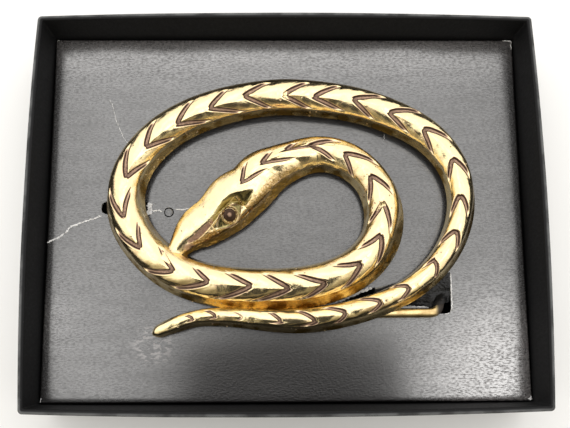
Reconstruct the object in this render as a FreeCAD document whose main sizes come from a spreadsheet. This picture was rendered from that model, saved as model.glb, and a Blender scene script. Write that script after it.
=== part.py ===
import FreeCAD, Part
import math
import os
from collections import namedtuple

import Sketcher
from FreeCAD import Placement, Rotation, Vector

# Snake belt buckle in its open card gift box, in millimetres.
# The origin is on the underside of the box, at the middle of its plan.
# +X runs to the right and +Y to the far side as the box is looked into, +Z is up.

doc = FreeCAD.newDocument("snake_buckle_in_box")
sheet = doc.addObject("Spreadsheet::Sheet", "dims")

DRIVING = (
    # alias, value, meaning
    ("box_length", 121.0, "outside of the tray along X at the floor"),
    ("box_depth", 94.4, "outside of the tray along Y at the floor"),
    ("box_height", 22.5, "underside to rim"),
    ("board", 1.2, "thickness of the tray board"),
    ("floor_board", 1.0, "thickness of the tray floor"),
    ("bow_long", 1.1, "how far the long walls bow out at the rim"),
    ("bow_short", 1.3, "how far the short walls bow out at the rim"),
    ("card", 0.6, "thickness of the folded insert card"),
    ("card_top", 11.0, "height of the insert's face above the underside"),
    ("card_clear", 0.2, "gap round the insert"),
    ("window_left", 12.0, "left end of the opening under the tail"),
    ("window_low", -24.9, "near edge of the opening"),
    ("window_step_x", 22.9, "where the near edge steps towards the viewer"),
    ("window_step_y", 2.1, "height of that step"),
    ("window_end", 28.5, "far right of the opening, from its left end"),
    ("window_tall", 10.2, "top right corner, from the near edge"),
    ("window_knee_x", 9.1, "corner of the torn edge, from the left end"),
    ("window_knee_y", 6.4, "corner of the torn edge, from the near edge"),
    ("window_tip", 2.7, "left end of the opening, from the near edge"),
    ("flap_long", 15.4, "length of the hinge of the flap that is pushed down"),
    ("flap_drop", 7.6, "depth of that flap"),
    ("flap_tilt", -62.0, "angle of the flap below the face"),
    ("far_slot_x", 37.5, "middle of the slot for the loop's far corner"),
    ("far_slot_y", 18.8, "middle of that slot"),
    ("far_slot_wide", 4.8, "size of that slot along X"),
    ("far_slot_tall", 7.0, "size of that slot along Y"),
    ("post_hole_x", -40.0, "middle of the oval hole for the hook"),
    ("post_hole_y", 2.0, "middle of the oval hole for the hook"),
    ("post_hole_long", 12.2, "length of the oval hole"),
    ("post_hole_wide", 4.4, "width of the oval hole"),
    ("punch_x", -29.2, "middle of the small punched hole"),
    ("punch_y", 0.5, "middle of the small punched hole"),
    ("punch_round", 2.5, "diameter of the small punched hole"),
    ("lift", 2.6, "back of the casting above the card"),
    ("rod", 2.3, "diameter of the wire of the belt loop"),
    ("rod_lift", 1.3, "axis of the loop's legs above the card"),
    ("rod_dip", -2.4, "axis of the loop's bar below the card's face"),
    ("leg_low", -24.7, "axis of the near leg, along Y"),
    ("leg_high", 21.7, "axis of the far leg, along Y"),
    ("leg_low_start", 17.4, "X where the near leg enters the casting"),
    ("leg_high_start", 27.0, "X where the far leg enters the casting"),
    ("leg_end", 36.6, "X of the loop's outer corners"),
    ("bar_x", 38.8, "X of the loop's bar"),
    ("bar_inset", 5.0, "how far the bar starts inside the legs"),
    ("rod_seat_bend", 1.4, "bend radius where a leg turns up into the casting"),
    ("rod_corner_bend", 2.6, "bend radius at the loop's outer corners"),
    ("socket_deep", 2.0, "depth of the blind sockets in the casting"),
    ("socket_clear", 0.1, "gap round a wire end in its socket"),
    ("post_round", 2.4, "diameter of the belt hook's post"),
    ("post_x", -39.2, "axis of the belt hook"),
    ("post_y", 2.0, "axis of the belt hook"),
    ("post_reach", 6.4, "belt hook below the card's face"),
    ("hook_reach", 4.6, "length of the hook's foot towards the left"),
    ("hook_bend", 2.2, "bend radius of the hook"),
    ("back_flare", 1.25, "how far the casting's sides slope out, edge line to back"),
    ("flare_share", 0.3, "the most that slope takes of a half width"),
    ("full_groove", 4.2, "half width from which the V marks have their full size"),
    ("edge_rise", 0.56, "height of the edge line as a share of the crown"),
    ("groove_deep", 0.5, "depth of the V marks"),
    ("groove_wide", 0.75, "width of the V marks at the surface"),
)


def fill_sheet():
    for row, (alias, value, meaning) in enumerate(DRIVING, start=1):
        sheet.set("A%d" % row, meaning)
        sheet.set("B%d" % row, repr(value))
        sheet.setAlias("B%d" % row, alias)
    doc.recompute()


fill_sheet()
size = {alias: float(sheet.get(alias)) for alias, _, _ in DRIVING}


# Sketch helpers

def origin_plane(body, role):
    return next(f for f in body.Origin.OriginFeatures if f.Role == role)


def sketch_on_level(body, name, height, x="0", y="0"):
    """A sketch parallel to the floor, moved to (x, y, height) by expressions."""
    sketch = body.newObject("Sketcher::SketchObject", name)
    sketch.AttachmentSupport = [(origin_plane(body, "XY_Plane"), "")]
    sketch.MapMode = "FlatFace"
    sketch.setExpression("AttachmentOffset.Base.x", x)
    sketch.setExpression("AttachmentOffset.Base.y", y)
    sketch.setExpression("AttachmentOffset.Base.z", height)
    return sketch


def bind(sketch, kind, first, second, name, expression):
    """A named driving distance between two sketch points, tied to the sheet."""
    until_bound = 10.0
    index = sketch.addConstraint(Sketcher.Constraint(kind, *first, *second, until_bound))
    sketch.renameConstraint(index, name)
    sketch.setExpression("Constraints." + name, expression)


def closed_outline(sketch, corners):
    """Straight edges round the corners, joined end to end."""
    count = len(corners)
    for k in range(count):
        line = Part.LineSegment(Vector(*corners[k]), Vector(*corners[(k + 1) % count]))
        sketch.addGeometry(line)
    for k in range(count):
        sketch.addConstraint(Sketcher.Constraint("Coincident", k, 2, (k + 1) % count, 1))


def centred_rectangle(sketch, length, depth, guess):
    """A rectangle centred on the sketch, with its two sizes bound."""
    half_x, half_y = guess[0] / 2, guess[1] / 2
    closed_outline(sketch, ((-half_x, -half_y), (half_x, -half_y),
                            (half_x, half_y), (-half_x, half_y)))
    for edge in (0, 2):
        sketch.addConstraint(Sketcher.Constraint("Horizontal", edge))
    for edge in (1, 3):
        sketch.addConstraint(Sketcher.Constraint("Vertical", edge))
    sketch.addConstraint(Sketcher.Constraint("Symmetric", 0, 1, 1, 2, -1, 1))
    bind(sketch, "DistanceX", (0, 1), (0, 2), "length", length)
    bind(sketch, "DistanceY", (1, 1), (1, 2), "depth", depth)


def bowed_rectangle(sketch, half_x, half_y, bow_x, bow_y, exprs):
    """Four shallow arcs between fixed corners: the rim of a box whose walls bow out."""
    corners = [(-half_x, -half_y), (half_x, -half_y), (half_x, half_y), (-half_x, half_y)]
    bulges = [(0, -half_y - bow_y), (half_x + bow_x, 0), (0, half_y + bow_y), (-half_x - bow_x, 0)]
    for k in range(4):
        start = Vector(*corners[k])
        end = Vector(*corners[(k + 1) % 4])
        sketch.addGeometry(Part.Arc(start, Vector(*bulges[k]), end))
    for k in range(4):
        sketch.addConstraint(Sketcher.Constraint("Coincident", k, 2, (k + 1) % 4, 1))
    sketch.addConstraint(Sketcher.Constraint("Symmetric", 0, 1, 1, 2, -1, 1))
    sketch.addConstraint(Sketcher.Constraint("Horizontal", 0, 1, 0, 2))
    sketch.addConstraint(Sketcher.Constraint("Vertical", 1, 1, 1, 2))
    bind(sketch, "DistanceX", (0, 1), (0, 2), "length", exprs["length"])
    bind(sketch, "DistanceY", (1, 1), (1, 2), "depth", exprs["depth"])
    for k, name in ((0, "near_round"), (1, "right_round"), (2, "far_round"), (3, "left_round")):
        radius = sketch.Geometry[k].Radius
        index = sketch.addConstraint(Sketcher.Constraint("Radius", k, radius))
        sketch.renameConstraint(index, name)
        sketch.setExpression("Constraints." + name, exprs["long_arc" if k % 2 == 0 else "short_arc"])


# Card tray: a straight floor outline lofted to a rim whose walls bow outwards

def arc_radius(chord, bow):
    """Radius of an arc from its chord and its height, as an expression."""
    return "(({0})^2 / 4 + {1}^2) / (2 * {1})".format(chord, bow)


def make_box_tray():
    body = doc.addObject("PartDesign::Body", "box_tray")
    outer_floor = sketch_on_level(body, "outer_floor", "0")
    centred_rectangle(outer_floor, "dims.box_length", "dims.box_depth",
                      (size["box_length"], size["box_depth"]))
    outer_rim = sketch_on_level(body, "outer_rim", "dims.box_height")
    bowed_rectangle(outer_rim, size["box_length"] / 2, size["box_depth"] / 2,
                    size["bow_short"], size["bow_long"],
                    {"length": "dims.box_length", "depth": "dims.box_depth",
                     "long_arc": arc_radius("dims.box_length", "dims.bow_long"),
                     "short_arc": arc_radius("dims.box_depth", "dims.bow_short")})
    outside = body.newObject("PartDesign::AdditiveLoft", "outside")
    outside.Profile = outer_floor
    outside.Sections = [outer_rim]
    inner_length = "dims.box_length - 2 * dims.board"
    inner_depth = "dims.box_depth - 2 * dims.board"
    half_x = size["box_length"] / 2 - size["board"]
    half_y = size["box_depth"] / 2 - size["board"]
    inner_floor = sketch_on_level(body, "inner_floor", "dims.floor_board")
    centred_rectangle(inner_floor, inner_length, inner_depth, (2 * half_x, 2 * half_y))
    inner_rim = sketch_on_level(body, "inner_rim", "dims.box_height")
    bowed_rectangle(inner_rim, half_x, half_y, size["bow_short"], size["bow_long"],
                    {"length": inner_length, "depth": inner_depth,
                     "long_arc": arc_radius(inner_length, "dims.bow_long"),
                     "short_arc": arc_radius(inner_depth, "dims.bow_short")})
    hollow = body.newObject("PartDesign::SubtractiveLoft", "hollow")
    hollow.Profile = inner_floor
    hollow.Sections = [inner_rim]
    body.Tip = hollow
    return body


# Insert: one sheet of card folded into a raised tray, with its openings

def window_outline(sketch):
    """The opening under the tail: a stepped near edge and a slanted torn far edge."""
    points = ((0, size["window_tip"]),
              (size["window_step_x"], size["window_step_y"]),
              (size["window_step_x"], 0),
              (size["window_end"], 0),
              (size["window_end"], size["window_tall"]),
              (size["window_knee_x"], size["window_knee_y"]))
    closed_outline(sketch, points)
    origin = (-1, 1)
    sketch.addConstraint(Sketcher.Constraint("PointOnObject", 0, 1, -2))
    sketch.addConstraint(Sketcher.Constraint("PointOnObject", 2, 1, -1))
    sketch.addConstraint(Sketcher.Constraint("PointOnObject", 3, 1, -1))
    sketch.addConstraint(Sketcher.Constraint("Vertical", 1))
    sketch.addConstraint(Sketcher.Constraint("Vertical", 3))
    bind(sketch, "DistanceY", origin, (0, 1), "tip", "dims.window_tip")
    bind(sketch, "DistanceX", origin, (1, 1), "step_x", "dims.window_step_x")
    bind(sketch, "DistanceY", origin, (1, 1), "step_y", "dims.window_step_y")
    bind(sketch, "DistanceX", origin, (3, 1), "end", "dims.window_end")
    bind(sketch, "DistanceY", origin, (4, 1), "tall", "dims.window_tall")
    bind(sketch, "DistanceX", origin, (5, 1), "knee_x", "dims.window_knee_x")
    bind(sketch, "DistanceY", origin, (5, 1), "knee_y", "dims.window_knee_y")


def pocket_through_card(body, name, sketch):
    pocket = body.newObject("PartDesign::Pocket", name)
    pocket.Profile = sketch
    pocket.setExpression("Length", "dims.card * 1.5")
    return pocket


def make_insert_card():
    body = doc.addObject("PartDesign::Body", "insert_card")
    inner_length = "dims.box_length - 2 * dims.board - 2 * dims.card_clear"
    inner_depth = "dims.box_depth - 2 * dims.board - 2 * dims.card_clear"
    plan = sketch_on_level(body, "insert_plan", "dims.floor_board + dims.card_clear / 2")
    centred_rectangle(plan, inner_length, inner_depth,
                      (size["box_length"] - 2.8, size["box_depth"] - 2.8))
    block = body.newObject("PartDesign::Pad", "insert_block")
    block.Profile = plan
    block.setExpression("Length", "dims.card_top - dims.floor_board - dims.card_clear / 2")
    underside = sketch_on_level(body, "underside_plan", "dims.card_top - dims.card")
    centred_rectangle(underside, inner_length + " - 2 * dims.card",
                      inner_depth + " - 2 * dims.card",
                      (size["box_length"] - 4.0, size["box_depth"] - 4.0))
    hollow = body.newObject("PartDesign::Pocket", "insert_hollow")
    hollow.Profile = underside
    hollow.setExpression("Length", "dims.card_top")
    window = sketch_on_level(body, "window_plan", "dims.card_top",
                             "dims.window_left", "dims.window_low")
    window_outline(window)
    pocket_through_card(body, "window", window)
    far_slot = sketch_on_level(body, "far_slot_plan", "dims.card_top",
                               "dims.far_slot_x", "dims.far_slot_y")
    centred_rectangle(far_slot, "dims.far_slot_wide", "dims.far_slot_tall",
                      (size["far_slot_wide"], size["far_slot_tall"]))
    pocket_through_card(body, "far_slot", far_slot)
    for name, x, y, across in (("punched_hole", "punch_x", "punch_y", "punch_round"),
                               ("oval_left", "post_hole_x", "post_hole_y", "post_hole_wide"),
                               ("oval_right", "post_hole_x", "post_hole_y", "post_hole_wide")):
        shift = {"oval_left": "- (dims.post_hole_long - dims.post_hole_wide) / 2",
                 "oval_right": "+ (dims.post_hole_long - dims.post_hole_wide) / 2"}.get(name, "")
        round_plan = sketch_on_level(body, name + "_plan", "dims.card_top",
                                     "dims.%s %s" % (x, shift), "dims." + y)
        round_plan.addGeometry(Part.Circle(Vector(0, 0), Vector(0, 0, 1), size[across] / 2))
        round_plan.addConstraint(Sketcher.Constraint("Coincident", 0, 3, -1, 1))
        index = round_plan.addConstraint(Sketcher.Constraint("Diameter", 0, size[across]))
        round_plan.renameConstraint(index, "across")
        round_plan.setExpression("Constraints.across", "dims." + across)
        pocket_through_card(body, name, round_plan)
    oval = sketch_on_level(body, "oval_middle_plan", "dims.card_top",
                           "dims.post_hole_x", "dims.post_hole_y")
    centred_rectangle(oval, "dims.post_hole_long - dims.post_hole_wide", "dims.post_hole_wide",
                      (size["post_hole_long"] - size["post_hole_wide"], size["post_hole_wide"]))
    pocket_through_card(body, "oval_middle", oval)
    flap = body.newObject("PartDesign::AdditiveBox", "flap")
    flap.setExpression("Length", "dims.flap_long")
    flap.setExpression("Width", "dims.flap_drop")
    flap.setExpression("Height", "dims.card")
    rise = size["window_tall"] - size["window_knee_y"]
    run = size["window_end"] - size["window_knee_x"]
    hinge = Rotation(Vector(0, 0, 1), math.degrees(math.atan2(rise, run)))
    knee = Vector(size["window_left"] + size["window_knee_x"],
                  size["window_low"] + size["window_knee_y"], size["card_top"])
    clear_of_knee = hinge.multVec(Vector(size["card"], 0, 0))
    bend = Rotation(Vector(1, 0, 0), 180 - size["flap_tilt"])
    flap.Placement = Placement(knee + clear_of_knee, hinge * bend)
    body.Tip = flap
    return body


# Bent wires: straight runs joined by tangent arcs

def bent_path(points, radii):
    """A wire through the points, each inner corner rounded by an arc of its own radius."""
    edges = []
    start = points[0]
    for before, corner, after, radius in zip(points, points[1:], points[2:], radii):
        into = (corner - before).normalize()
        out = (after - corner).normalize()
        half_turn = into.getAngle(out) / 2
        trim = radius * math.tan(half_turn)
        arc_start = corner - into * trim
        arc_end = corner + out * trim
        towards_centre = (out - into).normalize()
        middle = corner + towards_centre * (radius / math.cos(half_turn) - radius)
        edges.append(Part.LineSegment(start, arc_start).toShape())
        edges.append(Part.Arc(arc_start, middle, arc_end).toShape())
        start = arc_end
    edges.append(Part.LineSegment(start, points[-1]).toShape())
    return Part.Wire(edges)


def swept_rod(name, points, radii, diameter):
    """A round rod along a bent path, as a sweep whose circle is bound to the sheet."""
    path = doc.addObject("Part::Feature", name + "_path")
    path.Shape = bent_path(points, radii)
    circle = doc.addObject("Part::Circle", name + "_section")
    circle.setExpression("Radius", diameter + " / 2")
    direction = (points[1] - points[0]).normalize()
    circle.Placement = Placement(points[0], Rotation(Vector(0, 0, 1), direction))
    rod = doc.addObject("Part::Sweep", name)
    rod.Sections = [circle]
    rod.Spine = (path, [])
    rod.Solid = True
    rod.Frenet = False
    return rod


def make_belt_loop():
    top = size["card_top"]
    seat = top + size["lift"] + size["socket_deep"] - size["socket_clear"]
    level = top + size["rod_lift"]
    bar_level = top + size["rod_dip"]
    low, high = size["leg_low"], size["leg_high"]
    points = [Vector(size["leg_low_start"], low, seat),
              Vector(size["leg_low_start"], low, level),
              Vector(size["leg_end"], low, level),
              Vector(size["bar_x"], low + size["bar_inset"], bar_level),
              Vector(size["bar_x"], high - size["bar_inset"], bar_level),
              Vector(size["leg_end"], high, level),
              Vector(size["leg_high_start"], high, level),
              Vector(size["leg_high_start"], high, seat)]
    seat_bend, corner_bend = size["rod_seat_bend"], size["rod_corner_bend"]
    return swept_rod("belt_loop", points, [seat_bend] + [corner_bend] * 4 + [seat_bend], "dims.rod")


def make_hook_post():
    top = size["card_top"]
    x, y = size["post_x"], size["post_y"]
    seat = top + size["lift"] + size["socket_deep"] - size["socket_clear"]
    foot = top - size["post_reach"]
    points = [Vector(x, y, seat),
              Vector(x, y, foot),
              Vector(x - size["hook_reach"], y, foot)]
    return swept_rod("hook_post", points, [size["hook_bend"]], "dims.post_round")


# The snake: one casting, from the snout round two coils to the tail

Row = namedtuple("Row", "x y half crown")

# Plan position of the spine, half width at the back and crown height above the back.
HEAD_ROWS = (
    Row(-28.50, -12.75, 2.0, 3.2),
    Row(-26.25, -9.25, 2.5, 3.6),
    Row(-24.50, -7.25, 3.3, 4.0),
    Row(-21.75, -4.75, 4.6, 4.7),
    Row(-18.25, -1.50, 6.1, 5.4),
    Row(-15.25, 1.25, 7.0, 5.8),
    Row(-12.50, 3.75, 7.2, 6.0),
    Row(-9.50, 6.25, 6.9, 6.0),
)

# One row for each V mark, at its point. The first is on the nape.
SCALE_ROWS = (
    Row(-6.25, 8.75, 6.2, 5.7),
    Row(-2.25, 11.25, 5.4, 5.4),
    Row(3.00, 13.50, 4.7, 5.2),
    Row(7.75, 14.50, 4.5, 5.1),
    Row(14.50, 13.25, 4.5, 5.1),
    Row(20.50, 8.75, 4.5, 5.2),
    Row(23.75, 1.75, 4.8, 5.3),
    Row(23.25, -6.25, 4.9, 5.4),
    Row(18.25, -13.00, 5.0, 5.5),
    Row(9.00, -17.50, 5.1, 5.5),
    Row(0.25, -18.75, 5.0, 5.5),
    Row(-9.25, -18.75, 5.0, 5.5),
    Row(-19.50, -17.50, 5.0, 5.5),
    Row(-27.75, -14.25, 4.9, 5.4),
    Row(-35.25, -7.75, 4.7, 5.3),
    Row(-39.00, -0.50, 4.7, 5.2),
    Row(-38.25, 9.25, 4.6, 5.2),
    Row(-34.00, 16.25, 4.6, 5.2),
    Row(-26.75, 22.25, 4.6, 5.2),
    Row(-18.50, 26.00, 4.6, 5.2),
    Row(-9.75, 28.25, 4.5, 5.1),
    Row(0.00, 29.25, 4.5, 5.1),
    Row(7.75, 28.75, 4.5, 5.1),
    Row(17.25, 27.25, 4.4, 5.0),
    Row(26.25, 24.25, 4.3, 4.9),
    Row(34.75, 19.50, 4.1, 4.8),
    Row(40.50, 13.00, 3.8, 4.7),
    Row(43.25, 3.75, 3.5, 4.5),
    Row(41.75, -5.00, 3.3, 4.4),
    Row(37.00, -13.00, 3.1, 4.2),
    Row(30.00, -19.00, 2.9, 4.0),
    Row(22.75, -22.50, 2.9, 3.9),
    Row(14.25, -25.00, 3.0, 3.9),
    Row(6.75, -26.25, 3.0, 3.8),
    Row(-1.75, -26.50, 2.8, 3.6),
    Row(-11.00, -25.75, 2.4, 3.2),
    Row(-17.50, -25.50, 2.2, 2.9),
    Row(-22.50, -26.00, 2.0, 2.6),
)

TAIL_ROWS = (
    Row(-27.25, -27.50, 1.6, 2.1),
    Row(-30.25, -28.75, 1.1, 1.6),
    Row(-31.75, -29.50, 0.4, 0.8),
)

ROWS = HEAD_ROWS + SCALE_ROWS + TAIL_ROWS
FIRST_SCALE = len(HEAD_ROWS)
BACK = size["card_top"] + size["lift"]


class Spine:
    """A smooth plan curve through the rows, with the section's sizes along it."""

    def __init__(self, rows):
        self.rows = rows
        self.curve = Part.BSplineCurve()
        self.curve.interpolate([Vector(row.x, row.y, BACK) for row in rows])
        self.stations = [self.curve.parameter(Vector(row.x, row.y, BACK)) for row in rows]

    def section_sizes(self, u):
        """Half width and crown height, straight between the rows."""
        for k in range(len(self.rows) - 1):
            low, high = self.stations[k], self.stations[k + 1]
            if u <= high or k == len(self.rows) - 2:
                share = (u - low) / (high - low)
                near, far = self.rows[k], self.rows[k + 1]
                return (near.half + share * (far.half - near.half),
                        near.crown + share * (far.crown - near.crown))

    def frame(self, u):
        """Point on the back plane, direction towards the tail, and direction to the left."""
        along = self.curve.tangent(u)[0].normalize()
        return self.curve.value(u), along, Vector(0, 0, 1).cross(along)

    def along_from(self, station, distance):
        """The curve's parameter a distance further towards the tail."""
        return self.curve.parameterAtDistance(distance, self.stations[station])


def edge_half(half):
    """Half width of the edge line, where the top dome meets the sloped side."""
    return half - min(size["back_flare"], size["flare_share"] * half)


def section_wire(spine, station):
    """Flat back, two sloped sides and a domed top, square to the spine."""
    centre, _, left = spine.frame(spine.stations[station])
    half, crown = spine.rows[station].half, spine.rows[station].crown
    up = Vector(0, 0, 1)
    edge = edge_half(half)
    rise = crown * size["edge_rise"]
    back_left = centre + left * half
    back_right = centre - left * half
    edge_left = centre + left * edge + up * rise
    edge_right = centre - left * edge + up * rise
    top = centre + up * crown
    return Part.Wire([Part.LineSegment(back_right, back_left).toShape(),
                      Part.LineSegment(back_left, edge_left).toShape(),
                      Part.Arc(edge_left, top, edge_right).toShape(),
                      Part.LineSegment(edge_right, back_right).toShape()])


def top_height(half, crown, share):
    """Height of the domed top at a share of the way from the crown to the edge line."""
    edge = edge_half(half)
    sag = crown * (1 - size["edge_rise"])
    radius = (edge * edge + sag * sag) / (2 * sag)
    across = edge * share
    return crown - radius + math.sqrt(radius * radius - across * across)


def surface_point(spine, u, share):
    """A point of the domed top, share -1 at the right edge line and 1 at the left one."""
    centre, along, left = spine.frame(u)
    half, crown = spine.section_sizes(u)
    point = centre + left * (edge_half(half) * share)
    return point + Vector(0, 0, top_height(half, crown, abs(share))), along


# How far the arms of a V reach back, in half widths, and where they are measured
# across the dome. A slanted arm is cut longer along the spine than across itself.
ARM_REACH = 1.25
ARM_SHARES = (-0.86, -0.45, 0.0, 0.45, 0.86)
ARM_STRETCH = 1.7
TIP_FADE = 0.75
GOUGE_PROUD = 0.5


def gouge_profile(point, along, scale, stretch):
    """A triangle along the spine: open above the surface, its point below it."""
    deep = size["groove_deep"] * scale
    half_open = size["groove_wide"] * scale * stretch / 2 * (deep + GOUGE_PROUD) / deep
    top = point + Vector(0, 0, GOUGE_PROUD)
    ahead = top + along * half_open
    behind = top - along * half_open
    keel = point - Vector(0, 0, deep)
    return Part.makePolygon([ahead, behind, keel, ahead])


def chevron_cutter(spine, station):
    """The V mark of one scale, its point towards the head and its arms swept back."""
    half = spine.rows[station].half
    scale = min(1.0, half / size["full_groove"])
    profiles = []
    for share in ARM_SHARES:
        u = spine.along_from(station, ARM_REACH * half * abs(share))
        point, along = surface_point(spine, u, share)
        arm = abs(share) > 0
        tip = abs(share) == max(ARM_SHARES)
        profiles.append(gouge_profile(point, along, scale * (TIP_FADE if tip else 1.0),
                                      ARM_STRETCH if arm else 1.0))
    return Part.makeLoft(profiles, True, True)


Feature = namedtuple("Feature", "x y height radius")

EYE = Feature(-13.4, -1.4, 3.4, 1.15)
EYE_SOCKET = Feature(-13.3, -1.5, 4.1, 1.5)
BROW_HOLLOW = Feature(-11.6, 1.3, 8.2, 4.6)
NOSTRIL = Feature(-22.8, -8.6, 3.2, 0.55)


def ball(feature):
    return Part.makeSphere(feature.radius, Vector(feature.x, feature.y, BACK + feature.height))


def blind_socket(x, y, diameter):
    """A round hole into the back of the casting for the end of a wire."""
    radius = diameter / 2 + size["socket_clear"]
    mouth = Vector(x, y, BACK - size["lift"] / 2)
    return Part.makeCylinder(radius, size["socket_deep"] + size["lift"] / 2, mouth)


# The casting is lofted in spans that end at these scales, so that no span crosses itself.
SPAN_END_SCALES = (6, 21)


def make_snake_casting():
    spine = Spine(ROWS)
    cuts = [0] + [FIRST_SCALE + scale for scale in SPAN_END_SCALES] + [len(ROWS) - 1]
    spans = []
    for first, last in zip(cuts, cuts[1:]):
        wires = [section_wire(spine, k) for k in range(first, last + 1)]
        spans.append(Part.makeLoft(wires, True, False))
    snake = spans[0].fuse(spans[1:])
    gouges = [chevron_cutter(spine, FIRST_SCALE + k) for k in range(len(SCALE_ROWS))]
    sockets = [blind_socket(size["leg_low_start"], size["leg_low"], size["rod"]),
               blind_socket(size["leg_high_start"], size["leg_high"], size["rod"]),
               blind_socket(size["post_x"], size["post_y"], size["post_round"])]
    hollows = [ball(BROW_HOLLOW), ball(EYE_SOCKET), ball(NOSTRIL)]
    snake = snake.cut(gouges + sockets + hollows)
    snake = snake.fuse(ball(EYE))
    casting = doc.addObject("Part::Feature", "snake_casting")
    casting.Shape = snake
    casting.Placement = Placement()
    return casting


def check_and_write(parts):
    doc.recompute()
    for item in doc.Objects:
        if "Invalid" in item.State or "Error" in item.State:
            raise RuntimeError("%s did not recompute" % item.Name)
    for part in parts:
        if part.Shape.isNull() or not part.Shape.isValid():
            raise RuntimeError("%s has no sound shape" % part.Name)
        if len(part.Shape.Solids) != 1:
            raise RuntimeError("%s is %d solids" % (part.Name, len(part.Shape.Solids)))
    os.makedirs("parts", exist_ok=True)
    for part in parts:
        part.Label = part.Name
        part.Shape.exportStep("parts/%s.step" % part.Label)
        box = part.Shape.BoundBox
        print(part.Label, "volume %.0f" % part.Shape.Volume,
              "x %.1f %.1f y %.1f %.1f z %.1f %.1f" % (box.XMin, box.XMax, box.YMin,
                                                      box.YMax, box.ZMin, box.ZMax))


check_and_write([make_box_tray(), make_insert_card(), make_belt_loop(),
                 make_hook_post(), make_snake_casting()])
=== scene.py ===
"""Looks of the snake belt buckle in its open gift box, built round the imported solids.

Lengths in this file are millimetres and become metres when a mesh is made. The frame is the
solids' own: +X right, +Y to the far side, +Z up, the origin under the middle of the box.
"""
import logging
import math
from dataclasses import dataclass, field
from enum import Enum
from typing import Any, NamedTuple

import bpy
import numpy as np
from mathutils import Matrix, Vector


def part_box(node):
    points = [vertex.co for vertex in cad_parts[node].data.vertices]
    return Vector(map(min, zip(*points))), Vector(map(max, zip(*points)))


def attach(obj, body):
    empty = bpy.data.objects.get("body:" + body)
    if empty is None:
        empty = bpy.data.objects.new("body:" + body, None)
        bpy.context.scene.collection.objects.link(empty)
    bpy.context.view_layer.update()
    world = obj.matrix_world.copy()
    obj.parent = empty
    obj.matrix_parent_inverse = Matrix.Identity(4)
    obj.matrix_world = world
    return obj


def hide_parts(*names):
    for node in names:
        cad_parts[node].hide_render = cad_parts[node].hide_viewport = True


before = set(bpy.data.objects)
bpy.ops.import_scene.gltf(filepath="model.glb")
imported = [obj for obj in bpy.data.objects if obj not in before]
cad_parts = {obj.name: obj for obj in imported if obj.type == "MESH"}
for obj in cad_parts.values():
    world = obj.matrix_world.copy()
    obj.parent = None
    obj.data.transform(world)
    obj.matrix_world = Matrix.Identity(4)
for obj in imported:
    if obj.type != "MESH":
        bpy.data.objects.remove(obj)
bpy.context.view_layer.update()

log = logging.getLogger("snake_buckle")
METRES = 0.001
IMAGE_WIDTH = 570
BODY = "root"

# Short names of types

Array = np.ndarray
Two = tuple[Array, Array]
Three = tuple[Array, Array, Array]
Masks = dict[str, Array]
Object = bpy.types.Object

# The solids' boxes, in millimetres

TRAY_HIGH = np.array(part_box("box_tray")[1]) / METRES
INSERT_LOW, INSERT_HIGH = (np.array(corner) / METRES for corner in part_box("insert_card"))
CARD_TOP = float(INSERT_HIGH[2])
CASTING_BACK = float(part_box("snake_casting")[0][2] / METRES)


class Slot(Enum):
    """The record's material slots."""

    CAST = "cast_brass"
    DRAWN = "drawn_brass"
    CARD = "grained_card"
    BOARD = "box_board"


# Small curves and waves


def smoothstep(low: float, high: float, value: Array) -> Array:
    """Rises from 0 at low to 1 at high as 3t^2 - 2t^3.

    Args:
        low: Where the rise starts.
        high: Where it ends.
        value: The numbers to place on it.

    Returns:
        The shares, from 0 to 1.
    """
    t = np.clip((value - low) / (high - low), 0.0, 1.0)
    return t * t * (3 - 2 * t)


def bell(value: Array, middle: float | Array, width: float | Array) -> Array:
    """A bump of height 1: e to the minus squared distance from the middle in widths."""
    return np.exp(-((value - middle) / width) ** 2)


def waves(seed: int, count: int, longest: float, *axes: Array) -> Array:
    """An uneven ripple: the mean of sines whose directions and phases come from a seed.

    Args:
        seed: Fixes the directions and phases.
        count: How many sines are added.
        longest: The longest wavelength, in the units of the axes.
        axes: Coordinate arrays of one shape.

    Returns:
        Values between about -1 and 1.
    """
    draw = np.random.default_rng(seed)
    total = np.zeros_like(axes[0])
    for _ in range(count):
        pitch = 2 * math.pi / (longest * draw.uniform(0.35, 1.0))
        turn = draw.normal(size=len(axes))
        turn = unit(turn)
        total = total + np.sin(pitch * sum(a * t for a, t in zip(axes, turn)) + draw.uniform(0, 6.28))
    return total / math.sqrt(count)


def smooth_max(first: Array, second: Array, blend: Array) -> Array:
    """The larger of two heights: their mean plus half the root of gap squared plus blend squared."""
    return 0.5 * (first + second + np.sqrt((first - second) ** 2 + blend ** 2))


def unit(vectors: Array) -> Array:
    """Vectors along the last axis, each divided by its length."""
    return vectors / np.maximum(np.linalg.norm(vectors, axis=-1, keepdims=True), 1e-9)


def length_along(points: Array) -> Array:
    """The length of a line up to each of its points: the running sum of its steps."""
    return np.concatenate([[0.0], np.cumsum(np.linalg.norm(np.diff(points, axis=0), axis=1))])


def square_left(line: Array) -> Array:
    """Unit vectors in plan square to a line, on its left."""
    ahead = unit(np.gradient(line, axis=0))
    return np.column_stack([-ahead[:, 1], ahead[:, 0]])


def grid_over(u: Array, v: Array) -> Two:
    """Two coordinates as arrays, rows for the first and columns for the second."""
    first, second = np.meshgrid(u, v, indexing="ij")
    return first, second


# Shells: points and faces before they become a mesh


@dataclass
class Shell:
    """One closed skin, with a value for each point in its named masks."""

    points: Array
    faces: list[tuple[int, ...]]
    masks: Masks = field(default_factory=dict)

    def outward(self) -> "Shell":
        """Turns the faces to point outwards, by the sign of the volume of their fans.

        Returns:
            The same shell.
        """
        fans = [(f[0], f[k], f[k + 1]) for f in self.faces[:: max(1, len(self.faces) // 200000)]
                for k in range(1, len(f) - 1)]
        a, b, c = (self.points[np.array(fans)[:, k]] for k in range(3))
        if np.einsum("ij,ij->i", a, np.cross(b, c)).sum() < 0:
            self.faces = [f[::-1] for f in self.faces]
        return self


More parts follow.
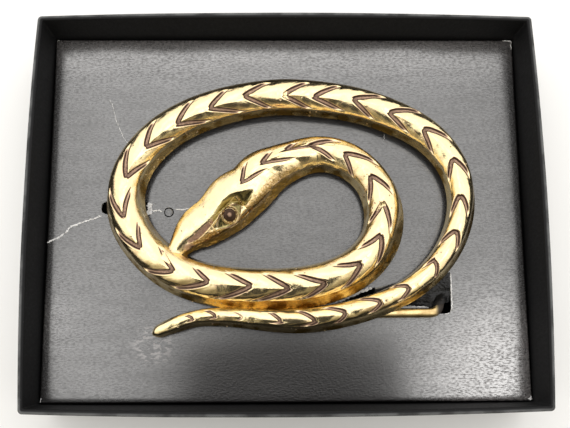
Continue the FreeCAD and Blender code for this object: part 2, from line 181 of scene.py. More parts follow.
def closed_rings(grid: Array, masks: Masks | None = None,
                 ends: Two | None = None) -> Shell:
    """A skin over rows of closed rings, each end closed by a fan to one point.

    Args:
        grid: Points, rows by columns by 3; the last column meets the first.
        masks: Named values, rows by columns.
        ends: The two end points; the rings' middles if none are given.

    Returns:
        The closed shell.
    """
    rows, columns = grid.shape[:2]
    index = np.arange(rows * columns).reshape(rows, columns)
    beside = np.roll(index, -1, axis=1)
    quads = np.stack([index[:-1], beside[:-1], beside[1:], index[1:]], axis=-1).reshape(-1, 4)
    first, last = ends if ends is not None else (grid[0].mean(0), grid[-1].mean(0))
    tip = rows * columns
    head_fan = np.stack([np.full(columns, tip), beside[0], index[0]], axis=1)
    tail_fan = np.stack([np.full(columns, tip + 1), index[-1], beside[-1]], axis=1)
    points = np.vstack([grid.reshape(-1, 3), first, last])
    faces = [tuple(f) for f in quads.tolist() + np.vstack([head_fan, tail_fan]).tolist()]
    values = {name: np.append(value.ravel(), [value[0].mean(), value[-1].mean()])
              for name, value in (masks or {}).items()}
    return Shell(points, faces, values).outward()


def sheet_normals(grid: Array) -> Array:
    """Unit normals of an open grid: the cross product of its two slopes."""
    return unit(np.cross(np.gradient(grid, axis=0), np.gradient(grid, axis=1)))


def thick_sheet(grid: Array, thickness: float | Array, down: bool = True) -> Shell:
    """An open grid given a thickness below it and closed round its border.

    Args:
        grid: Points of the top face, rows by columns by 3.
        thickness: How thick the sheet is.
        down: Straight down if true, and else square to the sheet.

    Returns:
        The closed shell.
    """
    rows, columns = grid.shape[:2]
    step = np.array([0.0, 0.0, 1.0]) if down else sheet_normals(grid)
    under = grid - step * np.asarray(thickness)[..., None]
    index = np.arange(rows * columns).reshape(rows, columns)
    top = np.stack([index[:-1, :-1], index[:-1, 1:], index[1:, 1:], index[1:, :-1]], axis=-1).reshape(-1, 4)
    rim = np.concatenate([index[0, :-1], index[:-1, -1], index[-1, :0:-1], index[:0:-1, 0]])
    following = np.roll(rim, -1)
    count = rows * columns
    bottom = top[:, ::-1] + count
    sides = np.stack([rim, rim + count, following + count, following], axis=1)
    faces = [tuple(f) for f in np.vstack([top, bottom, sides]).tolist()]
    return Shell(np.vstack([grid.reshape(-1, 3), under.reshape(-1, 3)]), faces).outward()


def level_sheet(x: Array, y: Array, level: float, thickness: float) -> Shell:
    """A flat sheet over two rows of places, its top face at a level."""
    u, v = grid_over(x, y)
    return thick_sheet(np.stack([u, v, np.full_like(u, level)], axis=-1), thickness)


def prism(outline: Array, low: float, high: float) -> Shell:
    """A straight block on a closed plan outline.

    Args:
        outline: Points in plan.
        low: Level of its floor.
        high: Level of its roof.

    Returns:
        The closed shell.
    """
    count = len(outline)
    floor = np.column_stack([outline, np.full(count, low)])
    roof = np.column_stack([outline, np.full(count, high)])
    ring = np.arange(count)
    following = np.roll(ring, -1)
    walls = np.stack([ring, following, following + count, ring + count], axis=1)
    faces = [tuple(f) for f in walls.tolist() + [ring[::-1].tolist(), (ring + count).tolist()]]
    return Shell(np.vstack([floor, roof]), faces).outward()


class Ring(NamedTuple):
    """One level of a box-like skin: its half sizes, corner radius and height."""

    half_x: float
    half_y: float
    corner: float
    height: float

    def points(self, side: int = 56, arc: int = 7) -> Array:
        """The ring as a rounded rectangle: four straight sides joined by quarter circles.

        Args:
            side: Points on each side.
            arc: Points on each corner.

        Returns:
            Points, count by 3, in one turn from the right side's low end.
        """
        parts = []
        for turn in range(4):
            angle = math.pi / 2 * turn
            out, reach = (self.half_x, self.half_y) if turn % 2 == 0 else (self.half_y, self.half_x)
            straight = reach - self.corner
            along = np.linspace(-straight, straight, side, endpoint=False)
            bend = np.linspace(0, math.pi / 2, arc, endpoint=False)
            u = np.concatenate([np.full(side, out), out - self.corner + self.corner * np.cos(bend)])
            v = np.concatenate([along, straight + self.corner * np.sin(bend)])
            parts.append(np.column_stack([u * math.cos(angle) - v * math.sin(angle),
                                          u * math.sin(angle) + v * math.cos(angle),
                                          np.full(side + arc, self.height)]))
        return np.vstack(parts)


# Pieces: shells made into Blender objects


def mesh_object(name: str, shells: list[Shell], material: bpy.types.Material | None) -> Object:
    """An object at the origin holding the shells, in metres.

    Args:
        name: The object's name.
        shells: The skins it holds.
        material: What it is made of.

    Returns:
        The linked object.
    """
    starts = np.cumsum([0] + [len(s.points) for s in shells])
    points = np.vstack([s.points for s in shells]) * METRES
    faces = [tuple(i + start for i in f) for s, start in zip(shells, starts.tolist()) for f in s.faces]
    mesh = bpy.data.meshes.new(name)
    mesh.from_pydata(points, [], faces)
    for mask in sorted({m for s in shells for m in s.masks}):
        values = np.concatenate([s.masks.get(mask, np.zeros(len(s.points))) for s in shells])
        attribute = mesh.attributes.new(mask, "FLOAT", "POINT")
        attribute.data.foreach_set("value", values.astype(np.float32))
    if material is not None:
        mesh.materials.append(material)
    mesh.update()
    made = bpy.data.objects.new(name, mesh)
    bpy.context.scene.collection.objects.link(made)
    return made


def combine(target: Object, others: list[Object], operation: str) -> None:
    """Joins or cuts closed meshes for good, keeping their masks and materials.

    Args:
        target: The object that is changed.
        others: The objects joined to it or cut from it; they are removed.
        operation: UNION or DIFFERENCE.
    """
    for other in others:
        step = target.modifiers.new(operation.lower(), "BOOLEAN")
        step.solver = "MANIFOLD"
        step.operation = operation
        step.material_mode = "TRANSFER"
        step.object = other
        graph = bpy.context.evaluated_depsgraph_get()
        result = bpy.data.meshes.new_from_object(target.evaluated_get(graph))
        target.modifiers.clear()
        target.data = result
        bpy.data.objects.remove(other)


def finish_piece(piece: Object, slot: Slot, sharp_degrees: float, *nodes: str) -> Object:
    """Shades a piece smooth up to an angle and fastens it to the body.

    Args:
        piece: The object.
        slot: The record's material slot it belongs to; not used.
        sharp_degrees: Edges that turn more than this stay sharp.
        nodes: The solids it stands for.

    Returns:
        The same object.
    """
    piece.data.shade_smooth()
    piece.data.set_sharp_from_angle(angle=math.radians(sharp_degrees))
    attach(piece, BODY)
    if nodes:
        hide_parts(*nodes)
    log.info("%s: %d faces", piece.name, len(piece.data.polygons))
    return piece


# Shaders: an expression on sockets adds the nodes


@dataclass(frozen=True)
class Value:
    """A number of a shader that varies over the surface."""

    nodes: "Nodes"
    socket: bpy.types.NodeSocket

    def _with(self, operation: str, first: Any, second: Any) -> "Value":
        """A Math node on two numbers."""
        node = self.nodes.node("ShaderNodeMath", {"operation": operation}, {0: first, 1: second})
        return Value(self.nodes, node.outputs[0])

    def __add__(self, other: Any) -> "Value":
        """This plus another."""
        return self._with("ADD", self, other)

    __radd__ = __add__

    def __mul__(self, other: Any) -> "Value":
        """This times another."""
        return self._with("MULTIPLY", self, other)

    __rmul__ = __mul__

    def __sub__(self, other: Any) -> "Value":
        """This less another."""
        return self._with("SUBTRACT", self, other)

    def __rsub__(self, other: Any) -> "Value":
        """Another less this."""
        return self._with("SUBTRACT", other, self)

    def __pow__(self, other: Any) -> "Value":
        """This to a power."""
        return self._with("POWER", self, other)

    def larger(self, other: Any) -> "Value":
        """The larger of this and another."""
        return self._with("MAXIMUM", self, other)

    def between(self, low: float, high: float) -> "Value":
        """A smooth share: 0 below low, 1 above high."""
        node = self.nodes.node("ShaderNodeMapRange", {"interpolation_type": "SMOOTHSTEP"},
                               {"Value": self, "From Min": low, "From Max": high})
        return Value(self.nodes, node.outputs["Result"])


class Nodes:
    """A node tree under construction."""

    def __init__(self, tree: bpy.types.NodeTree) -> None:
        """Empties the tree."""
        self.tree = tree
        self.tree.nodes.clear()

    def node(self, kind: str, settings: dict[str, Any] | None = None,
             inputs: dict[Any, Any] | None = None) -> bpy.types.Node:
        """Adds a node.

        Args:
            kind: The node's type.
            settings: Its properties, set first; "stops" are a ramp's places and colours.
            inputs: Numbers, colours, values or sockets by the input's name or number.

        Returns:
            The node.
        """
        made = self.tree.nodes.new(kind)
        for key, setting in (settings or {}).items():
            if key == "stops":
                self._set_stops(made, setting)
            else:
                setattr(made, key, setting)
        for key, source in (inputs or {}).items():
            self.feed(made.inputs[key], source)
        return made

    def feed(self, target: bpy.types.NodeSocket, source: Any) -> None:
        """Links a value or socket to an input, or sets the input to a number or colour.

        Args:
            target: The input.
            source: What it gets.
        """
        if isinstance(source, Value):
            self.tree.links.new(source.socket, target)
        elif isinstance(source, bpy.types.NodeSocket):
            self.tree.links.new(source, target)
        else:
            target.default_value = source

    def _set_stops(self, ramp: bpy.types.Node, stops: list[tuple[float, tuple[float, ...]]]) -> None:
        """Puts the stops into a ramp, which starts with two."""
        elements = ramp.color_ramp.elements
        for k, (place, colour) in enumerate(stops):
            stop = elements[k] if k < 2 else elements.new(place)
            stop.position = place
            stop.color = colour


class Shader(Nodes):
    """A material under construction, with one Principled surface."""

    def __init__(self, name: str) -> None:
        """Starts a material with one Principled surface.

        Args:
            name: The material's name.
        """
        self.material = bpy.data.materials.new(name)
        self.material.use_nodes = True
        super().__init__(self.material.node_tree)
        self.surface = self.node("ShaderNodeBsdfPrincipled")
        self.node("ShaderNodeOutputMaterial", None, {"Surface": self.surface.outputs[0]})
        self.place = self.node("ShaderNodeTexCoord").outputs["Object"]

    def noise(self, scale: float, detail: float = 3.0, stretch: tuple[float, ...] = (1, 1, 1)) -> Value:
        """Noise, stretched along an axis by a Mapping node.

        Args:
            scale: One over the size of its features in metres.
            detail: How many finer layers it has.
            stretch: Under 1 on an axis draws it out along that axis.

        Returns:
            Values from 0 to 1, near 0.5 for the most part.
        """
        moved = self.node("ShaderNodeMapping", None, {"Vector": self.place, "Scale": stretch})
        made = self.node("ShaderNodeTexNoise", None,
                         {"Vector": moved.outputs[0], "Scale": scale, "Detail": detail})
        return Value(self, made.outputs["Fac"])

    def cells(self, scale: float, feature: str = "F1", jitter: float = 1.0) -> Value:
        """Distances in a field of cells of 1/scale metres."""
        made = self.node("ShaderNodeTexVoronoi", {"feature": feature},
                         {"Vector": self.place, "Scale": scale, "Randomness": jitter})
        return Value(self, made.outputs["Distance"])

    def mask(self, name: str) -> Value:
        """A mask that the mesh carries."""
        made = self.node("ShaderNodeAttribute", {"attribute_name": name})
        return Value(self, made.outputs["Fac"])

    def mix(self, share: Value, first: Any, second: Any) -> bpy.types.NodeSocket:
        """A colour between two."""
        made = self.node("ShaderNodeMix", {"data_type": "RGBA"}, {0: share, 6: first, 7: second})
        return made.outputs[2]

    def bump(self, height: Value, distance: float, strength: float = 1.0,
             below: bpy.types.NodeSocket | None = None) -> bpy.types.NodeSocket:
        """A normal bent by a height field.

        Args:
            height: The field.
            distance: The rise, in metres, from its 0 to its 1.
            strength: How much of it shows.
            below: A normal that it adds to.

        Returns:
            The Bump node's normal.
        """
        inputs = {"Height": height, "Distance": distance, "Strength": strength}
        if below is not None:
            inputs["Normal"] = below
        return self.node("ShaderNodeBump", None, inputs).outputs[0]

    def set(self, **sockets: Any) -> bpy.types.Material:
        """Sets the surface's sockets, whose names are written with underscores."""
        for key, source in sockets.items():
            self.feed(self.surface.inputs[key.replace("_", " ")], source)
        return self.material


Colour = tuple[float, float, float, float]


@dataclass(frozen=True)
class Finish:
    """How a surface looks; each kind of finish has a way to dress a shader."""

    def material(self, name: str) -> bpy.types.Material:
        """The finish as a material.

        Args:
            name: The material's name.

        Returns:
            The material.
        """
        shader = Shader(name)
        self.dress(shader)
        return shader.material

    def dress(self, shader: Shader) -> None:
        """Sets the sockets of the shader's surface."""
        raise NotImplementedError


@dataclass(frozen=True)
class CastBrass(Finish):
    """Old polished cast brass: bright domes, warm hollows, dark patina in the cuts; olive painted shade in
    the head's hollow and eye socket, and side walls darkened partly by tarnish and partly as painted shade.
    """

    bright: Colour = (0.865, 0.715, 0.405, 1)
    warm: Colour = (0.80, 0.60, 0.36, 1)
    # Tarnish, also laid on the side walls as painted shade.
    tarnish: Colour = (0.36, 0.23, 0.058, 1)
    # Patina and film of the cuts; on the head they also carry painted shade in the crease, nostril, eye ring
    # and lids.
    patina: Colour = (0.050, 0.027, 0.016, 1)
    film: Colour = (0.45, 0.29, 0.20, 1)
    # Olive: painted shade, the colour of brass mirroring the dark surround.
    olive_shade_colour: Colour = (0.30, 0.25, 0.105, 1)

    def dress(self, shader: Shader) -> None:
        """Dresses the shader; reads four masks: the cuts' patina with painted shade on the head, the side
        walls' tarnish with painted shade, the rough cheek, and olive painted shade in the head's hollow and
        eye socket.

        Args:
            shader: The material under construction.
        """
        groove, band, rough = (shader.mask(m) for m in ("groove", "band", "rough"))
        hollow = shader.mask("hollow")
        tone = shader.noise(260, 4)
        fine = shader.noise(2600, 3)
        pits = 1 - shader.cells(560).between(0.07, 0.15)
        pits = pits * shader.noise(180, 1).between(0.48, 0.57)
        warm_share = tone.between(0.48, 0.72) * 0.6 + rough * 0.7
        mottle = shader.noise(900, 5).between(0.47, 0.66) * 0.5
        metal = shader.mix((warm_share + mottle).between(0.0, 1.0), self.bright, self.warm)
        # Side walls: tarnish, partly painted shade, stronger on sides facing the near side; the rough cheek:
        # real tarnish.
        dull = band * (tone.between(0.44, 0.60) * 0.75 + 0.2) + rough * (fine.between(0.35, 0.6) * 0.45 + 0.3)
        metal = shader.mix(dull.between(0.0, 1.0), metal, self.tarnish)
        # Painted shade: olive in the hollow between brow and lid and in the eye socket.
        metal = shader.mix((hollow * (0.75 + tone * 0.4)).between(0.0, 1.0), metal, self.olive_shade_colour)
        # Dark film: patina in the cuts and pits, and painted shade in the head's crease, nostril, eye ring
        # and lids.
        film = shader.mix((groove + fine * 0.5).between(0.6, 1.1), self.film, self.patina)
        patina_pits_and_shade = (groove.between(0.12, 0.5) + pits * 0.8).between(0.0, 1.0)
        grain = shader.bump(fine + shader.noise(7000, 2) * 0.5, 0.000014, 0.6)
        swell = shader.bump(shader.noise(520, 2), 0.00018, 0.6, grain)
        lumps = shader.bump(shader.noise(900, 4) * (rough + band * 0.12), 0.0005, 0.9, swell)
        shader.set(
            Base_Color=shader.mix(patina_pits_and_shade, metal, film),
            Metallic=1 - patina_pits_and_shade * 0.3,
            Roughness=0.17 + tone * 0.08 + patina_pits_and_shade * 0.32 + rough * fine * 0.3 + band * tone * 0.10,
            Normal=shader.bump(1 - pits, 0.0001, 0.8, lumps),
        )


@dataclass(frozen=True)
class DrawnBrass(Finish):
    """Drawn brass wire: lengthwise die lines, a light tarnish, and a near-black painted shadow on the run
    that dips into the insert.
    """

    bright: Colour = (0.82, 0.64, 0.33, 1)
    dull: Colour = (0.42, 0.29, 0.13, 1)
    # Near black: painted shadow for the run that dips into the insert.
    black: Colour = (0.030, 0.022, 0.016, 1)

    def dress(self, shader: Shader) -> None:
        """Dresses the shader; a mask blackens the run that dips into the insert as painted shadow.

        Args:
            shader: The material under construction.
        """
        tarnish = shader.noise(300, 4)
        lines = shader.noise(2500, 2, (0.06, 1, 1))
        sunk = shader.mask("sunk")
        metal = shader.mix(tarnish.between(0.40, 0.75), self.bright, self.dull)
        shader.set(
            Base_Color=shader.mix(sunk, metal, self.black),
            Metallic=1 - sunk,
            Roughness=0.18 + tarnish * 0.14 + lines * 0.08 + sunk * 0.35,
            Normal=shader.bump(lines, 0.00001, 0.5),
        )


class Spot(NamedTuple):
    """A round place on the card: its middle and radius in metres, as shaders measure."""

    x: float
    y: float
    radius: float


@dataclass(frozen=True)
class GrainedCard(Finish):
    """Black card embossed like leather under a varnish: pebbles and long faint streaks.

    The varnish is fuller at the far edge and in the near corners, where a grey base is painted
    sheen; it is thinner at the middle of the near side and a little at the centre, as painted
    dark reflection; and it is scuffed below the tail's tip.
    """

    black: Colour = (0.010, 0.009, 0.009, 1)
    # Grey base laid on as painted sheen.
    painted_sheen: Colour = (0.155, 0.142, 0.138, 1)
    varnish_index: float = 2.45
    varnish: float = 0.62
    varnish_rough: float = 0.20
    # Patches: painted sheen at the far edge and the corners, painted dark reflection at the near middle,
    # slight dimming at the centre, and a real scuff.
    far_edge: tuple[float, float] = (0.024, 0.046)
    right_corner: Spot = Spot(0.054, -0.042, 0.038)
    left_corner: Spot = Spot(-0.062, -0.026, 0.020)
    dark_reflection_middle: Spot = Spot(-0.002, -0.054, 0.046)
    calm: Spot = Spot(0.004, 0.0, 0.056)
    scuffed: Spot = Spot(-0.0325, -0.0320, 0.0075)

    def _patch(self, x: Value, y: Value, spot: Spot) -> Value:
        """A soft round patch of the card.

        Args:
            x: The surface's own X.
            y: The surface's own Y.
            spot: Where the patch is.

        Returns:
            1 in its middle, falling to 0 at its radius.
        """
        gap_x, gap_y = x - spot.x, y - spot.y
        away = (gap_x * gap_x + gap_y * gap_y) ** 0.5
        return 1 - away.between(0.0, spot.radius)

    def dress(self, shader: Shader) -> None:
        """Dresses the shader.

        Args:
            shader: The material under construction.
        """
        split = shader.node("ShaderNodeSeparateXYZ", None, {"Vector": shader.place})
        x, y = (Value(shader, split.outputs[axis]) for axis in ("X", "Y"))
        pebbles = shader.cells(1700, "SMOOTH_F1")
        streaks = shader.noise(420, 4, (0.28, 1, 1))
        dust = shader.noise(5200, 2).between(0.68, 0.78)
        # Painted sheen: fuller varnish and a grey base over the far edge and the near corners.
        corners = self._patch(x, y, self.right_corner) + self._patch(x, y, self.left_corner) * 0.5
        full = (y.between(*self.far_edge) * 0.6 + corners).between(0.0, 1.15)
        # Painted dark reflection: thinner varnish at the middle of the near side, and a little at the centre.
        dull = self._patch(x, y, self.dark_reflection_middle).between(0.0, 0.75)
        calm = self._patch(x, y, self.calm).between(0.0, 0.7)
        scuff = self._patch(x, y, self.scuffed) * shader.noise(1300, 4, (0.5, 1, 1)).between(0.48, 0.58)
        creases = shader.noise(3300, 2, (0.35, 1, 1)).between(0.30, 0.62)
        grain = pebbles * 0.9 + streaks * 0.5 + 0.2
        relief = pebbles * 1.0 + streaks * 0.9 + shader.noise(3000, 3, (0.4, 1, 1)) * 1.7
        # Grey base: painted sheen in the patches, with the real dust and scuff.
        worn = (full * grain + dust * 0.25 + scuff * 1.6).between(0.0, 1.1)
        shader.set(
            Base_Color=shader.mix(worn, self.black, self.painted_sheen),
            Roughness=0.38 + streaks * 0.10 + dust * 0.2,
            Coat_Weight=(self.varnish + full * 0.38) * (1 - dull * 0.86) * (1 - calm * 0.16)
            * (1 + (streaks - 0.5) * 0.5 + (creases - 0.5) * (0.45 + full * 1.1)),
            Coat_IOR=self.varnish_index,
            Coat_Roughness=self.varnish_rough,
            Normal=shader.bump(relief * (0.6 + full * 1.4), 0.00013, 1.0),
        )


@dataclass(frozen=True)
class TornSkin(Finish):
    """The card's black skin where it came away: creased and glossy; its near-black, weakly reflecting face is
    partly painted shade of the opening it sinks into.
    """

    black: Colour = (0.004, 0.004, 0.004, 1)
    worn: Colour = (0.030, 0.028, 0.028, 1)
    skin_index: float = 1.36

    def dress(self, shader: Shader) -> None:
        """Dresses the shader.

        Args:
            shader: The material under construction.
        """
        creases = shader.noise(330, 4, (0.5, 1, 1))
        shader.set(
            Base_Color=shader.mix(creases.between(0.45, 0.75), self.black, self.worn),
            IOR=self.skin_index,
            Roughness=0.16 + creases * 0.3,
            Normal=shader.bump(creases + shader.noise(1500, 2) * 0.15, 0.0011, 1.0),
        )


@dataclass(frozen=True)
class BoxPaper(Finish):
    """Matt black paper on board, fibrous, with a grey painted highlight on the outer arris of the rim."""

    black: Colour = (0.0042, 0.0042, 0.0047, 1)
    # Grey of the painted highlight along the rim's arris.
    rim_highlight_grey: Colour = (0.115, 0.118, 0.118, 1)
    sheen: float = 0.22

    def dress(self, shader: Shader) -> None:
        """Dresses the shader; a mask carries the painted highlight along the rim's arris.

        Args:
            shader: The material under construction.
        """
        fibres = shader.noise(1600, 4, (1, 1, 0.4))
        scuffs = shader.noise(190, 4)
        # Painted highlight on the rim's arris, patchy; the lint specks are real.
        rub = shader.mask("rub") * (scuffs.between(0.32, 0.62) * 0.75 + 0.25)
        lint = shader.noise(3800, 1).between(0.73, 0.79)
        shader.set(
            Base_Color=shader.mix(rub.larger(lint * 0.5), self.black, self.rim_highlight_grey),
            Roughness=0.55 + fibres * 0.2,
            Specular_IOR_Level=self.sheen,
            Normal=shader.bump(fibres + shader.cells(1800) * 0.4, 0.00004, 0.6),
        )


@dataclass(frozen=True)
class CutPaper(Finish):
    """The card's pale core where it is cut or torn: short fibres, a little soiled."""

    clean: Colour = (0.74, 0.735, 0.72, 1)
    soiled: Colour = (0.30, 0.29, 0.275, 1)

    def dress(self, shader: Shader) -> None:
        """Dresses the shader.

        Args:
            shader: The material under construction.
        """
        fibres = shader.noise(4200, 3)
        shader.set(
            Base_Color=shader.mix(shader.noise(900, 3).between(0.5, 0.75), self.clean, self.soiled),
            Roughness=0.8 + fibres * 0.15,
            Normal=shader.bump(fibres, 0.00004, 0.8),
        )


@dataclass(frozen=True)
class Palette:
    """The materials that the pieces share."""

    cast: bpy.types.Material
    drawn: bpy.types.Material
    card: bpy.types.Material
    paper: bpy.types.Material
    core: bpy.types.Material
    skin: bpy.types.Material

    @classmethod
    def mixed(cls) -> "Palette":
        """Makes each finish once."""
        return cls(CastBrass().material("cast_brass"), DrawnBrass().material("drawn_brass"),
                   GrainedCard().material("grained_card"), BoxPaper().material("box_paper"),
                   CutPaper().material("cut_paper"), TornSkin().material("torn_skin"))


# The snake casting


class Section(NamedTuple):
    """A section square to the spine: its place, half width, crown and the width of each side."""

    x: float
    y: float
    half: float
    crown: float
    left: float
    right: float


class Mark(NamedTuple):
    """A V mark by its section: how far its point lies towards the tail and to the left, as a
    share of the flat width; how far back each arm reaches and where across it ends; its depth."""

    ahead: float
    lean: float
    left: float
    left_end: float
    right: float
    right_end: float
    deep: float = 1.0


# x, y, half width, crown, width of the left and the right side
HEAD_SECTIONS = tuple(Section(*row) for row in (
    (-28.50, -12.75, 2.0, 3.2, 0.4, 0.5), (-26.25, -9.25, 2.5, 3.6, 0.4, 0.6),
    (-24.65, -7.09, 3.5, 4.0, 0.5, 0.8), (-21.98, -4.49, 4.95, 4.7, 0.6, 1.1),
    (-17.95, -1.83, 5.65, 5.4, 0.7, 1.2), (-14.85, 0.82, 6.45, 5.8, 0.8, 1.4),
    (-12.16, 3.39, 6.7, 6.0, 0.9, 1.6), (-9.03, 5.74, 6.25, 6.0, 0.9, 1.7),
))
BODY_SECTIONS = tuple(Section(*row) for row in (
    (-6.25, 8.75, 6.2, 5.7, 1.0, 1.8), (-2.25, 11.25, 5.4, 5.4, 1.1, 1.6),
    (3.00, 13.50, 4.7, 5.2, 1.3, 1.3), (7.75, 14.50, 4.5, 5.1, 1.4, 1.1),
    (14.50, 13.25, 4.5, 5.1, 1.7, 0.9), (20.50, 8.75, 4.5, 5.2, 2.0, 0.9),
    (23.75, 1.75, 4.8, 5.3, 2.2, 0.9), (23.25, -6.25, 4.9, 5.4, 2.3, 0.9),
    (18.25, -13.00, 5.0, 5.5, 2.2, 1.1), (9.00, -17.50, 5.1, 5.5, 2.0, 1.2),
    (0.25, -18.75, 5.0, 5.5, 1.8, 1.3), (-9.25, -18.75, 5.0, 5.5, 1.7, 1.4),
    (-19.50, -17.50, 5.0, 5.5, 1.5, 1.6), (-27.75, -14.25, 4.9, 5.4, 1.2, 1.8),
    (-35.25, -7.75, 4.7, 5.3, 1.1, 1.8), (-39.00, -0.50, 4.7, 5.2, 1.1, 1.6),
    (-38.25, 9.25, 4.6, 5.2, 1.1, 1.5), (-34.00, 16.25, 4.6, 5.2, 1.2, 1.3),
    (-26.75, 22.25, 4.6, 5.2, 1.3, 1.1), (-18.50, 26.00, 4.6, 5.2, 1.4, 1.0),
    (-9.75, 28.25, 4.5, 5.1, 1.4, 0.9), (0.00, 29.25, 4.5, 5.1, 1.4, 0.9),
    (7.75, 28.75, 4.5, 5.1, 1.4, 0.9), (17.25, 27.25, 4.4, 5.0, 1.4, 0.9),
    (26.25, 24.25, 4.3, 4.9, 1.4, 0.9), (34.75, 19.50, 4.1, 4.8, 1.4, 0.8),
    (40.50, 13.00, 3.8, 4.7, 1.4, 0.7), (43.25, 3.75, 3.5, 4.5, 1.4, 0.6),
    (41.75, -5.00, 3.3, 4.4, 1.4, 0.6), (37.00, -13.00, 3.1, 4.2, 1.4, 0.5),
    (30.00, -19.00, 2.9, 4.0, 1.3, 0.5), (22.75, -22.50, 2.9, 3.9, 1.3, 0.5),
    (14.25, -25.00, 3.0, 3.9, 1.2, 0.6), (6.75, -26.25, 3.0, 3.8, 1.2, 0.6),
    (-1.75, -26.50, 2.8, 3.6, 1.0, 0.6), (-11.00, -25.75, 2.4, 3.2, 0.9, 0.6),
    (-17.50, -25.50, 2.2, 2.9, 0.8, 0.6), (-22.50, -26.00, 2.0, 2.6, 0.7, 0.5),
))
TAIL_SECTIONS = tuple(Section(*row) for row in (
    (-27.25, -27.50, 1.9, 2.3, 0.5, 0.4), (-30.00, -28.60, 1.6, 2.0, 0.4, 0.4),
    (-31.40, -29.30, 1.1, 1.5, 0.3, 0.3), (-32.00, -29.60, 0.4, 0.8, 0.1, 0.1),
))
# ahead, lean, left reach and end, right reach and end, depth where it isn't 1
MARKS = tuple(Mark(*row) for row in (
    (-4.64, 0.33, 3.8, 4.3, 5.4, -0.3), (-2.67, 0.37, 2.4, 3.5, 6.3, -0.6),
    (-1.89, 0.57, 1.9, 3.2, 4.9, 1.0), (-1.12, 0.38, 5.1, 3.1, 5.4, -2.0),
    (0.05, -0.02, 6.6, 2.9, 4.4, -3.8), (0.97, -0.19, 5.0, 2.3, 5.8, -3.6),
    (0.79, -0.23, 6.0, 2.1, 4.9, -3.7), (1.01, -0.19, 5.7, 2.5, 5.5, -3.3),
    (1.28, -0.06, 5.5, 3.3, 5.3, -3.0), (0.44, 0.12, 5.0, 3.6, 6.1, -2.9),
    (0.21, 0.08, 7.4, 3.5, 5.2, -3.2), (-0.33, -0.09, 7.2, 3.2, 5.3, -3.1),
    (-0.53, -0.08, 7.0, 3.7, 3.7, -2.7), (-0.7, 0.02, 5.2, 4.1, 5.5, -2.8),
    (-1.03, 0.16, 5.9, 3.2, 4.7, -2.3), (-0.81, 0.08, 5.7, 3.0, 6.2, -2.5),
    (-1.01, -0.08, 6.3, 3.0, 5.8, -3.1), (-0.22, -0.2, 5.1, 2.9, 6.5, -3.6),
    (-0.02, -0.35, 5.1, 2.6, 7.2, -3.5), (-0.02, -0.26, 4.5, 2.6, 7.1, -3.4),
    (-0.05, -0.01, 5.6, 2.7, 5.7, -3.5), (-0.05, -0.27, 5.2, 2.8, 6.2, -3.5),
    (-0.26, -0.28, 5.3, 2.9, 6.5, -3.1), (-0.19, -0.02, 6.4, 3.0, 5.4, -3.2),
    (-0.21, -0.2, 6.4, 3.4, 5.6, -2.9), (-0.54, -0.15, 5.7, 2.6, 5.4, -3.4),
    (1.04, -0.14, 4.6, 2.2, 4.2, -3.1), (0.87, -0.49, 4.0, 1.4, 4.8, -3.2),
    (1.08, -0.34, 3.7, 1.5, 4.4, -3.2), (0.88, -0.74, 2.7, 1.5, 2.4, -2.5),
    (1.0, -0.33, 3.1, 1.2, 3.4, -2.8), (0.65, -0.15, 2.8, 1.3, 4.8, -2.9),
    (0.57, -0.12, 2.6, 1.7, 4.5, -2.4), (0.29, 0.26, 2.3, 1.4, 4.0, -2.4),
    (-0.11, 0.14, 1.4, 0.8, 2.4, -1.8), (-0.48, 0.0, 1.2, 0.8, 2.0, -1.2, 0.3),
    (-0.4, 0.0, 0.8, 0.6, 2.0, -1.6, 1.1), (-0.04, 0.05, 0.7, 0.6, 1.2, -1.2, 1.1),
))


class Dent(NamedTuple):
    """A point of a crease or ridge on the head: its place, depth and half width."""

    x: float
    y: float
    depth: float = 0.0
    width: float = 1.0


BROW = tuple(Dent(*row) for row in (
    (-24.6, -7.7, 0.0), (-22.7, -6.4, 0.55), (-20.1, -4.0, 0.75), (-18.7, -2.9, 0.8),
    (-17.4, -1.3, 1.05), (-16.6, 0.4, 1.5), (-15.3, 2.0, 2.0), (-13.7, 3.4, 2.3), (-12.1, 4.0, 2.3),
    (-10.4, 4.3, 1.7), (-9.0, 4.5, 0.8), (-7.9, 4.6, 0.0),
))
LID = tuple(Dent(*row) for row in (
    (-24.0, -8.5), (-21.4, -7.3), (-19.3, -5.4), (-17.9, -3.9), (-16.9, -2.6), (-15.8, -1.2),
    (-14.2, 0.4), (-12.9, 1.2), (-11.6, 1.0), (-10.6, 0.6), (-9.6, 1.0), (-8.8, 2.1), (-8.15, 3.2),
    (-7.6, 4.2),
))
UPPER_LID = tuple(Dent(*row) for row in (
    (-23.6, -8.3, -0.1, 0.2), (-21.2, -7.4, -0.22, 0.24), (-19.1, -5.6, -0.26, 0.24),
    (-17.8, -4.1, -0.28, 0.22), (-16.8, -2.8, -0.28, 0.2), (-15.7, -1.4, -0.28, 0.2),
    (-14.3, 0.2, -0.28, 0.2), (-13.2, 1.5, -0.28, 0.2), (-11.8, 1.7, -0.2, 0.18),
))
CHEEK = tuple(Dent(*row) for row in (
    (-21.4, -7.9, -0.15, 0.4), (-18.8, -5.9, -0.25, 0.4), (-16.4, -4.95, -0.32, 0.35),
    (-14.2, -4.2, -0.35, 0.35), (-12.1, -3.0, -0.35, 0.35), (-10.9, -1.2, -0.35, 0.4),
    (-9.4, 0.4, -0.4, 0.5), (-8.2, 1.6, -0.4, 0.55), (-7.2, 2.4, -0.4, 0.6), (-5.6, 4.1, -0.35, 0.6),
    (-4.0, 5.5, -0.25, 0.55), (-1.2, 7.4, -0.1, 0.5), (1.5, 9.6, 0.0, 0.5),
))
NOSTRIL = Dent(-22.6, -9.1, 0.7, 0.5)
EYE_FRONT = np.array([-16.5, -4.6])
EYE_BACK = np.array([-10.9, 1.0])
EYE_CENTRE = (EYE_FRONT + EYE_BACK) / 2
